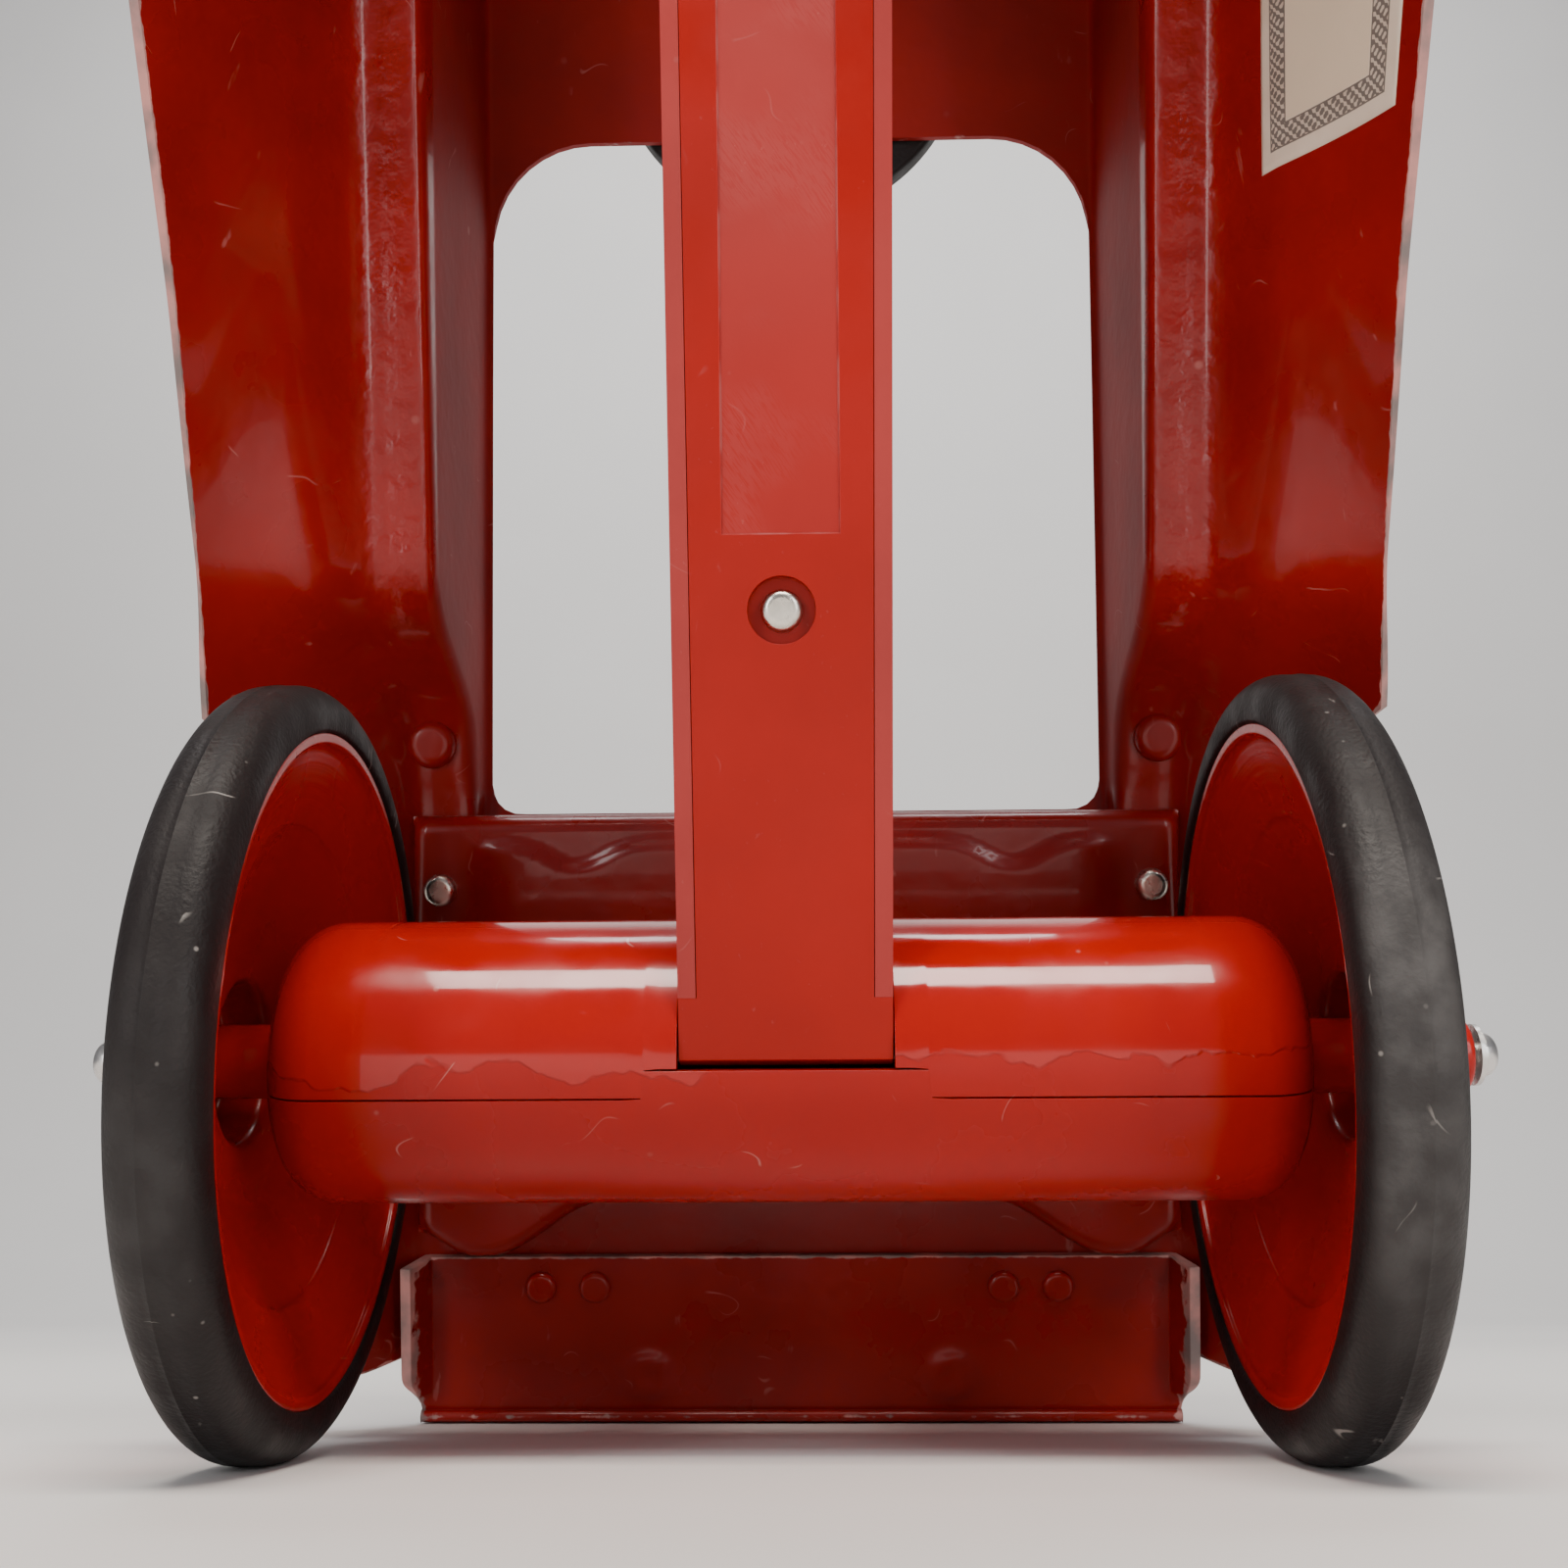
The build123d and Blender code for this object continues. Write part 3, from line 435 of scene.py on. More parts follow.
def moulded(name, colour, roughness, spread, wave, gloss=0.0, panel=False, marks=None):
    """Moulded plastic: a soft gloss, faint streaks and rubbing, and slow waves in the surface."""
    g = Surface(name, roughness, Coat_Weight=gloss, Coat_Roughness=0.05, Specular_IOR_Level=0.25)
    dark = tuple(c * 0.82 for c in colour)
    base = g.mix(g.mottle(22.0), dark, colour)
    pale = tuple(min(1.0, c * 0.9 + 0.16) for c in colour)
    rubs = g.scratches((1500.0, 1500.0, 90.0), 0.68, (0.5, 0.2, 0.4))
    specks = g.dust(330.0, 0.05)
    base = g.mix(g.times(g.most(rubs, specks), 0.16), base, pale)
    height = g.grain(wave, 1.0)
    rough = g.mottle(60.0, roughness, roughness + spread)
    if panel:
        x, depth, level = g.axes()
        beside = g.minus(PANEL_HALF, g.absolute(x))
        inside = g.least(beside, g.minus(level, PANEL_FOOT))
        on_face = g.span(depth, -15.9, -16.3)
        sunk = g.times(g.span(inside, -0.05, 0.1), on_face)
        sanded = g.scratches((5200.0, 900.0, 420.0), 0.42, (0.0, 0.62, 0.0))
        hazy = g.span(level, PANEL_FOOT, PANEL_FOOT + 60.0, 0.05, 0.16)
        worked = g.times(sunk, g.plus(hazy, g.times(sanded, 0.07)))
        base = g.mix(worked, base, pale)
        near_rim = g.span(g.absolute(g.minus(inside, 0.02)), 0.2, 0.06)
        rubbed = g.times(near_rim, g.span(g.grain(160.0, 3.0), 0.4, 0.6, 0.15, 1.0))
        base = g.mix(g.times(g.times(rubbed, on_face), 0.4), base, pale)
        rough = g.plus(rough, g.times(sunk, 0.12))
    if marks is not None:
        height = g.plus(height, g.times(marks(g), 0.16))
    grain = g.times(g.grain(2600.0, 2.0), 0.02)
    g.feed(Base_Color=base)
    g.feed(Roughness=rough)
    return g.finished(g.plus(height, grain), 0.00035)


def hub_rings(g):
    """Rings left by the mould's turned face."""
    return g.group("rings", g.at, Centre=tuple(AXLE), Scale=1500.0)


def lacquered(name, colour):
    """The housing's plastic under a brushed-on lacquer that ends in an uneven edge."""
    g = Surface(name, 0.2, Coat_Roughness=0.04, Specular_IOR_Level=0.3)
    *_, level = g.axes()
    spread = g.times(g.minus(g.grain(70.0, 4.0), 0.5), 16.0)
    film = g.span(g.plus(level, spread), 2.2, 2.7)
    dark = tuple(c * 0.82 for c in colour)
    base = g.mix(g.mottle(16.0), dark, colour)
    base = g.mix(g.times(film, 0.25), base, tuple(min(1.0, c * 1.2) for c in colour))
    specks = g.dust(300.0, 0.08)
    base = g.mix(g.times(specks, 0.3), base, (0.7, 0.4, 0.35))
    g.feed(Base_Color=base)
    rough = g.mottle(70.0, 0.18, 0.34)
    g.feed(Roughness=g.minus(rough, g.times(film, 0.08)))
    g.feed(Coat_Weight=g.times(film, 0.5))
    waves = g.times(g.grain(34.0, 1.0), 2.4)
    ripple = g.times(g.grain(160.0, 2.0), 0.16)
    height = g.plus(g.plus(waves, ripple), g.times(film, 0.3))
    return g.finished(height, 0.00035)


def rubber(name, colour, dust_and_sheen):
    """Black rubber with a grey bloom of dust on the tread, made strongest in a band at mid-height
    that is painted sheen, and a few specks and fibres.
    """
    g = Surface(name, 0.5, Specular_IOR_Level=0.26)
    bloom = g.mottle(26.0)
    streak = g.mottle(240.0, 0.5, 1.0)
    *_, level = g.axes()
    # Painted sheen: a band about 4 mm above the axle's height, where the tread's grey is strongest.
    middle = g.span(g.absolute(g.minus(level, 4.0)), 34.0, 12.0)
    rolled = g.times(g.mark("tread"), g.times(bloom, streak))
    # Real dust on the tread, weighted towards the painted sheen band at mid-height.
    tread = g.times(rolled, g.plus(g.times(middle, 0.9), 0.1))
    # This pale grey colours both the dust and the painted sheen.
    grey = g.mix(g.times(tread, dust_and_sheen), colour, (0.085, 0.08, 0.078))
    specks = g.dust(420.0, 0.16)
    scuff = g.scratches((500.0, 300.0, 120.0), 0.7)
    pale = g.times(g.most(specks, g.times(scuff, 0.5)), 0.5)
    g.feed(Base_Color=g.mix(pale, grey, (0.42, 0.39, 0.36)))
    g.feed(Roughness=g.mottle(120.0, 0.46, 0.66))
    height = g.plus(g.grain(1500.0, 3.0), g.times(g.grain(90.0, 2.0), 1.2))
    return g.finished(height, 0.00012)


def metal(name, colour, roughness, scratch=0.3):
    """Bare or plated metal with fine scratches and a slight cloudiness."""
    g = Surface(name, roughness, Metallic=1.0)
    dull = tuple(c * 0.62 for c in colour)
    tone = g.mix(g.mottle(260.0, 0.5), dull, colour)
    g.feed(Base_Color=tone)
    lines = g.scratches((3000.0, 2500.0, 260.0), 0.55, (0.3, 0.6, 0.2))
    rough = g.mottle(300.0, roughness, roughness + 0.14)
    g.feed(Roughness=rough)
    height = g.plus(g.times(lines, scratch), g.grain(600.0, 2.0))
    return g.finished(height, 0.00004)


def paper(name, size):
    """A cream label whose printed frame is a band of small woven rosettes. It reads the piece's
    UV map, which is in units of the label's own sides."""
    g = Surface(name, 0.42, Coat_Weight=0.15)
    width, length = size
    uv = g.node("UVMap", uv_map="label").outputs[0]
    parts = g.node("SeparateXYZ", {"Vector": uv})
    across = g.times(parts.outputs["X"], width)
    down = g.times(parts.outputs["Y"], length)
    inset_x = g.least(across, g.minus(width, across))
    inset_y = g.least(down, g.minus(length, down))
    inset = g.least(inset_x, inset_y)
    band = g.times(g.span(inset, 2.3, 2.45), g.span(inset, 5.7, 5.55))
    waves = g.times(g.sine(g.times(across, 4.6)), g.sine(g.times(down, 4.6)))
    cross_waves = g.sine(g.times(g.plus(across, down), 7.0))
    rosettes = g.span(g.plus(waves, g.times(cross_waves, 0.35)), 0.05, 0.25)
    lines = g.most(g.span(g.absolute(g.minus(inset, 2.5)), 0.14, 0.08),
                   g.span(g.absolute(g.minus(inset, 5.5)), 0.14, 0.08))
    ink = g.most(g.times(band, g.minus(1.0, g.times(rosettes, 0.75))), lines)
    aged = g.mix(g.mottle(60.0), (0.68, 0.55, 0.42), (0.8, 0.68, 0.55))
    tint = g.mix(g.span(inset, 5.5, 6.0), aged, (0.74, 0.6, 0.44))
    g.feed(Base_Color=g.mix(g.times(ink, 0.85), tint, (0.06, 0.055, 0.055)))
    return g.finished(g.grain(900.0, 3.0), 0.00003)


def plain_paper(name, colour):
    """The stage's matt board, with a barely uneven tone."""
    g = Surface(name, 0.85, Specular_IOR_Level=0.2)
    tone = g.mix(g.mottle(3.0), tuple(c * 0.97 for c in colour), colour)
    g.feed(Base_Color=tone)
    return g.finished(g.grain(500.0, 2.0), 0.00003)


def build_materials(finish, sizes):
    """Every material of the truck, by the name of what it covers."""
    build_groups()
    return {
        "shell": enamel("shell_enamel", finish.enamel, finish.worn),
        "plate": enamel("plate_enamel", finish.enamel, finish.worn, 0.7),
        "spine": moulded("spine_plastic", finish.plastic, 0.34, 0.14, 60.0, panel=True),
        "channel": moulded("channel_plastic", tuple(c * 0.96 + 0.03 for c in finish.plastic),
                           0.42, 0.14, 60.0),
        "housing": lacquered("housing_lacquer", finish.housing),
        "hub": moulded("hub_plastic", finish.hub, 0.26, 0.05, 18.0, gloss=0.15, marks=hub_rings),
        # The last number scales the tread's grey dust and its painted sheen at mid-height.
        "tyre": rubber("tyre_rubber", finish.rubber, 0.9),
        "pad": rubber("pad_rubber", finish.rubber, 0.3),
        "screw": metal("nickel_screws", (0.78, 0.73, 0.65), 0.2),
        "axle": metal("axle_steel", (0.66, 0.64, 0.62), 0.24),
        "chrome": metal("handle_chrome", (0.86, 0.86, 0.87), 0.07, 0.1),
        "bush": moulded("bush_plastic", (0.09, 0.012, 0.01), 0.4, 0.1, 200.0),
        "label": paper("label_paper", (sizes.label_width, sizes.label_length)),
        "board": plain_paper("stage_board", finish.board),
    }


def material_for(name):
    """A material by what it covers, made with all the others the first time it is asked for."""
    if not MATERIALS:
        MATERIALS.update(build_materials(bpy.context.scene.truck_finish, lengths(bpy.context)))
    return MATERIALS[name]


MATERIALS = {}
PANEL_HALF, PANEL_FOOT = 7.2, 67.0      # the cover's sunk panel, in millimetres

# ---- Frame shell

HEIGHTS = (-58.5, -40.0, 23.0, 31.0, 48.0, 64.0, 102.0, 135.0, 170.0, 206.0)
WEB_DEPTH = (57.8, 57.8, 57.8, 64.5, 65.5, 66.5, 69.0, 71.5, 72.0, 72.0)
STEP_DEPTH = (57.5, 57.5, 57.5, 57.5, 57.5, 31.0, 28.5, 27.0, 26.0, 25.0)
RIM_X = (74.0, 79.0, 87.6, 87.3, 86.6, 84.3, 81.2, 80.8, 81.6, 83.0)
RIM_DEPTH = (40.0, 34.0, 33.0, 31.0, 25.5, 17.5, 1.5, -10.0, -18.0, -23.0)
WINDOW = 51.8
WALL_X, STEP_X, ROOT_X = 53.5, 64.5, 66.0
SHELL_TOP, SHELL_FOOT = 204.5, -58.5
SEAT_X, SEAT_HEIGHT = 60.2, 43.0        # the sunk seat of the rivet on the step


def wing_bow(t):
    """How far a wing's face bows towards the wheel, in millimetres, along its width t."""
    return 0.9 * np.sin(np.pi * np.clip(t, 0, 1))


def shell_point(c, height):
    """x and depth of the right half of the shell's rear face. c runs outwards: 0 to 1 is the
    web, 2 the bend into the inner wall, 3 the wall, 4 the bend onto the step, 5 the step, 6 the
    wide bend into the wing and 7 the wing's rim. Runs are straight, and bends are parabolas or,
    for the wide one, the cubic through the step's corner and the wing's root."""
    c, height = np.broadcast_arrays(c, height)
    web = eased(height, HEIGHTS, WEB_DEPTH)
    step = eased(height, HEIGHTS, STEP_DEPTH)
    rim = np.stack([eased(height, HEIGHTS, RIM_X), eased(height, HEIGHTS, RIM_DEPTH)], -1)
    web_corner = np.stack([np.full_like(web, WALL_X - 0.6), web], -1)
    wall_foot = np.stack([np.full_like(step, WALL_X), step], -1)
    step_corner = np.stack([np.full_like(step, STEP_X), step], -1)
    root = np.stack([np.full_like(step, ROOT_X), step - 6.0], -1)
    centre = np.stack([np.zeros_like(web), web], -1)

    def towards(a, b, reach):
        run = np.linalg.norm(b - a, axis=-1, keepdims=True)
        return a + (b - a) * np.minimum(reach / np.maximum(run, 1e-6), 0.45)

    def part(low):
        return np.clip(c - low, 0, 1)[..., None]

    web_end = towards(web_corner, centre, WALL_X - 0.6 - WINDOW)
    wall_start = towards(web_corner, wall_foot, 2.0)
    wall_end = towards(wall_foot, web_corner, 2.6)
    step_start = towards(wall_foot, step_corner, 2.6)
    step_end = towards(step_corner, wall_foot, 4.2)
    wing_start = towards(root, rim, 7.0)
    t = part(5)
    wide = ((1 - t) ** 3 * step_end + 3 * t * (1 - t) ** 2 * step_corner
            + 3 * t**2 * (1 - t) * root + t**3 * wing_start)
    wing = wing_start + (rim - wing_start) * part(6)
    bowed = wing + np.stack([wing_bow(part(6)[..., 0]), 0 * web], -1)
    runs = [
        centre + (web_end - centre) * part(0),
        parabola(web_end, web_corner, wall_start, part(1)),
        wall_start + (wall_end - wall_start) * part(2),
        parabola(wall_end, wall_foot, step_start, part(3)),
        step_start + (step_end - step_start) * part(4),
        wide,
        bowed,
    ]
    which = np.clip(np.ceil(c - 1e-9) - 1, 0, 6)[..., None]
    point = np.select([which == i for i in range(7)], runs)
    return point[..., 0], point[..., 1]


def wheel_arch(c, radius):
    """The height above the axle where the shell at c leaves the wheel arch: the solution of
    height^2 + depth(height)^2 = radius^2 by repeated substitution, and 7 where there is none."""
    height = np.full_like(c, 30.0)
    for _ in range(60):
        depth = shell_point(c, height)[1]
        height = 0.5 * height + 0.5 * np.sqrt(np.maximum(radius**2 - depth**2, 49.0))
    return height


def shell_grid(arch_radius):
    """The shell's right half as a grid: rows run across it and are bent to follow the wheel arch
    and the window, and the last rows cross its closed top. Returns x, depth and height, which
    cells are cut away, and two marks: nearness to a cut edge, and the coarsely pressed step."""
    window_x = np.concatenate([np.linspace(0, WINDOW - 17, 8)[:-1],
                               WINDOW - 17 + 17 * np.sin(np.linspace(0, np.pi / 2, 10))])
    bends = [low + np.linspace(0, 1, n)[1:] for low, n in ((1, 5), (2, 9), (3, 7), (4, 5), (5, 10))]
    wing = 6 + np.array([0.08, 0.17, 0.26, 0.35, 0.44, 0.53, 0.62, 0.71, 0.8, 0.88, 0.94, 0.975,
                         1.0])
    c = np.concatenate([window_x / WINDOW, *bends, wing])
    arch = wheel_arch(c, arch_radius)
    cut = (c > 5) & (arch > 7.4)
    corner_low = np.maximum(np.abs(window_x) - (WINDOW - 5), 0)
    corner_high = np.maximum(np.abs(window_x) - (WINDOW - 17), 0)
    low_edge = np.full_like(c, 36.0)
    low_edge[: len(window_x)] = 31 + 5 - np.sqrt(np.maximum(25 - corner_low**2, 0))
    low_edge += 24 * smooth_step(5, 7, c)
    high_edge = np.full_like(c, 131.0)
    high_edge[: len(window_x)] = 148 - (17 - np.sqrt(np.maximum(289 - corner_high**2, 0)))
    lines = [np.full_like(c, SHELL_FOOT), np.full_like(c, SHELL_FOOT + 1.2), -arch, arch, low_edge,
             high_edge, np.full_like(c, SHELL_TOP)]
    counts = (1, 9, 8, 9, 44, 26)
    height = np.concatenate([
        low + (high - low) * np.linspace(0, 1, n, endpoint=False)[:, None]
        for low, high, n in zip(lines, lines[1:], counts)
    ] + [lines[-1][None]])
    x, depth = shell_point(c[None], height)
    seat = np.hypot(x - SEAT_X, height - SEAT_HEIGHT)
    depth = depth - 0.8 * smooth_step(8.0, 5.2, seat)
    starts = np.cumsum((0, *counts))
    row = np.arange(len(height) - 1)[:, None]
    gone = ((row >= starts[2]) & (row < starts[3])) & (cut[:-1] & cut[1:])[None]
    gone |= ((row >= starts[4]) & (row < starts[5])) & (c[1:] <= 1)[None]
    near_rim = np.where(c >= 6.99, 1.0, np.where(c > 6.96, 0.45, 0.0))[None] * np.ones_like(height)
    on_arch = np.zeros_like(height)
    on_arch[starts[2]] = on_arch[starts[3]] = cut
    on_window = np.zeros_like(height)
    on_window[starts[4]: starts[5] + 1, len(window_x) - 1] = 0.55
    on_window[starts[4], : len(window_x)] = on_window[starts[5], : len(window_x)] = 0.55
    on_foot = np.zeros_like(height)
    on_foot[0] = 1.0
    edge = np.maximum.reduce([near_rim, on_arch, on_window, on_foot])
    press = np.exp(-((c - 4.6) / 0.75) ** 2)[None] * smooth_step(50, 70, height)
    end = np.array([0.02, 0.2, 0.6, 1.0])[:, None]
    x_end = np.repeat(x[-1:], len(end), 0)
    depth_end = depth[-1:] + (RIM_DEPTH[-1] - depth[-1:]) * end
    x, depth = np.concatenate([x, x_end]), np.concatenate([depth, depth_end])
    height = np.concatenate([height, np.full_like(x_end, SHELL_TOP)])
    edge = np.concatenate([edge, np.repeat(near_rim[-1:], len(end), 0)])
    edge[-1] = 1.0
    press = np.concatenate([press, 0 * x_end])
    gone = np.concatenate([gone, np.zeros((len(end), gone.shape[1]), bool)])
    return x, depth, height, gone, edge, press


def both_sides(right_half, sign=1.0):
    """A grid with its mirror image on its left. The two share the middle column."""
    return np.concatenate([sign * right_half[:, :0:-1], right_half], 1)


class TRUCK_OT_shell(Operator):
    """Builds the pressed frame shell with its bends, window, wheel arches and closed top"""
    bl_idname = "truck.shell"
    bl_label = "Frame shell"

    def execute(self, context):
        sizes = lengths(context)
        x, depth, height, gone, edge, press = shell_grid(sizes.arch_radius)
        mirrored = both_sides(x, -1.0), both_sides(depth), both_sides(height)
        kept = ~np.concatenate([gone[:, ::-1], gone], 1)
        shell = new_piece("shell_sheet", place(*mirrored), grid_faces(*mirrored[0].shape)[kept],
                          60.0, outward=False, edge=both_sides(edge), press=both_sides(press))
        thicken(shell, sizes.shell_sheet)
        soften(shell, 0.3, 2, 50.0)
        settle(shell, "truck", "shell_paint", "shell", "frame_shell")
        finish_nodes("shell", "frame_rivets")
        return {"FINISHED"}


# ---- Plates

TOE_HALF, TOE_CORNER = 63.0, 9.0
BOSS_X, BOSS_HEIGHT = 25.0, -62.4


def spaced(half, edge, inner, edge_steps=7):
    """Places from -half to half that crowd together within an edge's width of either end."""
    rise = half - edge * np.sin(np.linspace(0, np.pi / 2, edge_steps))
    return np.concatenate([-rise, np.linspace(-half + edge, half - edge, inner)[1:-1], rise[::-1]])


def pressed_plate(half, top, low, lobe, rear, deep, corner):
    """The cross plate's rear face: flat, with its edges turned forward round a quarter circle,
    and its middle pressed out by a smooth step below a brow that dips at each side. Its lower
    edge drops to a lobe at each end."""
    across = spaced(half, corner, 61)
    share = (spaced(1.0, corner / 36.0, 81, 7) + 1) / 2
    x, t = np.meshgrid(across, share)
    beside = np.abs(x)
    drop = smooth_step(half - 31, half - 12, beside) - 0.45 * smooth_step(half - 9, half, beside)
    bottom = low - (low - lobe) * drop
    height = bottom + (top - bottom) * t
    from_edge = corner - np.hypot(np.maximum(corner - (half - np.abs(x)), 0),
                                  np.maximum(corner - np.minimum(height - bottom, top - height), 0))
    inset = np.clip(from_edge, 0, corner)
    depth = rear + corner - np.sqrt(np.maximum(corner**2 - (corner - inset) ** 2, 0))
    brow = 26.6 - 4.0 * np.exp(-(((np.abs(x) - 35.5) / 6.0) ** 2))
    swell = (smooth_step(54.0, 47.0, np.abs(x)) * smooth_step(brow + 1.2, brow - 1.2, height)
             * smooth_step(-29.0, -22.0, height))
    depth = depth - 1.3 * swell
    ring = [np.concatenate([a[:1], a, a[-1:]]) for a in (x, depth, height)]
    x, depth, height = [np.concatenate([a[:, :1], a, a[:, -1:]], 1) for a in ring]
    depth[0] = depth[-1] = depth[:, 0] = depth[:, -1] = rear + deep
    edge = np.zeros_like(x)
    edge[0] = edge[-1] = edge[:, 0] = edge[:, -1] = 1.0
    return x, depth, height, edge


def toe_profile(heel_rear, heel_top, drop, floor_depth, toe):
    """The toe plate's outer line as (depth, height), from the heel's top down to the hem, round
    it, and along the floor to the tip. The hem is a half round bead of the sheet."""
    bead = np.linspace(-0.2, 1.0, 9) * np.pi * 0.78
    low = -drop
    hem = np.stack([floor_depth + 0.75 - 0.9 * np.sin(bead), low + 1.05 + 0.9 * np.cos(bead)], -1)
    face = np.stack([np.full(26, heel_rear), np.linspace(heel_top, hem[0, 1] + 0.3, 26)], -1)
    start = np.array([floor_depth + 1.0, low])
    along = np.array([math.cos(LEAN), -math.sin(LEAN)])
    tip = toe - 1.0 - 9 * np.cos(np.linspace(0, np.pi / 2, 9))
    run = start + along * np.concatenate([np.linspace(0.2, toe - 10, 20), tip])[:, None]
    return np.concatenate([face, hem, run]), len(face)


class TRUCK_OT_plates(Operator):
    """Builds the cross plate and the toe plate with its heel, hem and pressed bosses"""
    bl_idname = "truck.plates"
    bl_label = "Plates"

    def execute(self, context):
        sizes = lengths(context)
        x, depth, height, edge = pressed_plate(half=63.0, top=31.0, low=-33.0, lobe=-42.0,
                                               rear=51.5, deep=6.0, corner=sizes.plate_round)
        plate = new_piece("cross_plate_sheet", place(x, depth, height), grid_faces(*x.shape), 60.0,
                          outward=False, edge=edge)
        thicken(plate, 1.8)
        soften(plate, 0.25, 2, 60.0)
        settle(plate, "truck", "plate_paint", "plate", "cross_plate")

        line, bend_row = toe_profile(heel_rear=55.48, heel_top=-42.5, drop=70.0, floor_depth=54.5,
                                     toe=62.0)
        run = np.arange(len(line)) - len(line) + 9
        along = np.sin(np.clip(run, 0, 8) / 8 * np.pi / 2)
        rounding = TOE_CORNER * np.sqrt(np.maximum(1 - along**2, 0))
        half = np.where(run > 0, TOE_HALF - TOE_CORNER + rounding, TOE_HALF)
        share = np.concatenate([[-1.0, -0.97], np.linspace(-0.94, 0.94, 81), [0.97, 1.0]])
        x = half[:, None] * share[None]
        depth = np.repeat(line[:, :1], len(share), 1)
        height = np.repeat(line[:, 1:], len(share), 1)
        boss = np.hypot(np.abs(x) - BOSS_X, height - BOSS_HEIGHT)
        face = (np.arange(len(line)) < bend_row)[:, None]
        raised, pip = smooth_step(4.6, 3.0, boss), smooth_step(2.2, 1.2, boss)
        depth = depth - face * (0.9 * raised - 0.5 * pip)
        flange = 7.0 * smooth_step(-68.5, -60.0, height) * (np.abs(share) > 0.99)[None]
        depth = depth - face * flange
        near_side = np.clip((np.abs(share) - 0.97) / 0.03, 0, 1)[None] * np.ones_like(x)
        rows = np.arange(len(line))[:, None]
        on_hem = 0.62 * np.exp(-((rows - bend_row - 5) / 2.2) ** 2) * np.ones_like(x)
        edge = np.maximum.reduce([near_side, on_hem, (rows == 0) * np.ones_like(x),
                                  (rows == len(line) - 1) * np.ones_like(x)])
        toe = new_piece("toe_plate_sheet", place(x, depth, height),
                        grid_faces(*x.shape)[:, :, ::-1], 60.0, outward=False, edge=edge)
        thicken(toe, 1.9)
        soften(toe, 0.3, 2, 60.0)
        settle(toe, "truck", "plate_paint", "plate", "toe_plate")
        finish_nodes("plate", "toe_plate_rivets")
        return {"FINISHED"}


# ---- Spine


class TRUCK_OT_spine(Operator):
    """Builds the moulded spine and its cover with the sunk, sanded panel"""
    bl_idname = "truck.spine"
    bl_label = "Spine and cover"

    def execute(self, context):
        channel = refined_copy("spine_channel", "spine_body")
        soften(channel, 0.35, 3, 30.0)
        settle(channel, "truck", "spine_plastic", "channel", "spine_channel")
        cover = refined_copy("spine_cover", "spine_lid")
        soften(cover, 0.12, 2, 30.0)
        settle(cover, "truck", "spine_plastic", "spine", "spine_cover")
        return {"FINISHED"}


# ---- Axle housing


def housing_half(radius, half, corner, upper):
    """One half shell of the axle housing. Its line along the axle, (x, r), goes from the bush
    hole out over a quarter round corner and back, and each point is carried through the angle
    between the seams: depth = -r cos(a), height = r sin(a), where sin(a) = seam height / r at
    the seam. The seam steps up beside the spine. Returns x, depth, height and the cut cells."""
    turn = np.linspace(0, np.pi / 2, 9)
    end_x = np.concatenate([[half, half], half - corner + corner * np.cos(turn)])
    end_r = np.concatenate([[4.1, radius - corner - 1.5], radius - corner + corner * np.sin(turn)])
    inner = np.array([50.0, 42.0, 34.0, 26.0, 20.0, 17.6, 17.4, 15.5, 13.3, 9.0, 4.0])
    x = np.concatenate([end_x, inner, [0.0], -inner[::-1], -end_x[::-1]])
    r = np.concatenate([end_r, np.full(2 * len(inner) + 1, radius), end_r[::-1]])
    seam = np.where(np.abs(x) < 17.5, 1.6, -1.5) + (0.04 if upper else -0.04)
    start = np.arcsin(np.clip(seam / r, -0.9, 0.9))
    slot = math.acos(-3.1 / radius)
    if upper:
        stops = [start, np.full_like(x, slot), np.pi - start]
    else:
        stops = [start, np.full_like(x, -np.pi / 2), -np.pi - start]
    angle = np.concatenate([
        a + (b - a) * np.linspace(0, 1, 26, endpoint=last)[:, None]
        for a, b, last in zip(stops, stops[1:], (False, True))
    ])
    depth, height = -r * np.cos(angle), r * np.sin(angle)
    wide = np.abs(x) < 13.4
    gone = (np.arange(len(angle) - 1)[:, None] < 26) & (wide[:-1] & wide[1:])[None] & upper
    return np.broadcast_to(x, depth.shape), depth, height, gone


class TRUCK_OT_housing(Operator):
    """Builds the two half shells of the axle housing and the brackets that hold it"""
    bl_idname = "truck.housing"
    bl_label = "Axle housing"

    def execute(self, context):
        sizes = lengths(context)
        for upper, node in ((True, "housing_upper"), (False, "housing_lower")):
            x, depth, height, gone = housing_half(sizes.housing_radius, sizes.housing_half,
                                                  sizes.housing_corner, upper)
            faces = grid_faces(*x.shape)[~gone]
            half = new_piece(node.replace("housing", "housing_shell"), place(x, depth, height),
                             faces if upper else faces[:, ::-1], 50.0, outward=False)
            thicken(half, 2.4)
            soften(half, 0.18, 2, 55.0)
            settle(half, "truck", "housing_plastic", "housing", node)
        for side in ("left", "right"):
            bracket = refined_copy("axle_saddle_" + side, "saddle_" + side)
            soften(bracket, 0.4, 2, 30.0)
            settle(bracket, "truck", "housing_plastic", "housing", "axle_saddle_" + side)
        return {"FINISHED"}


# ---- Wheels


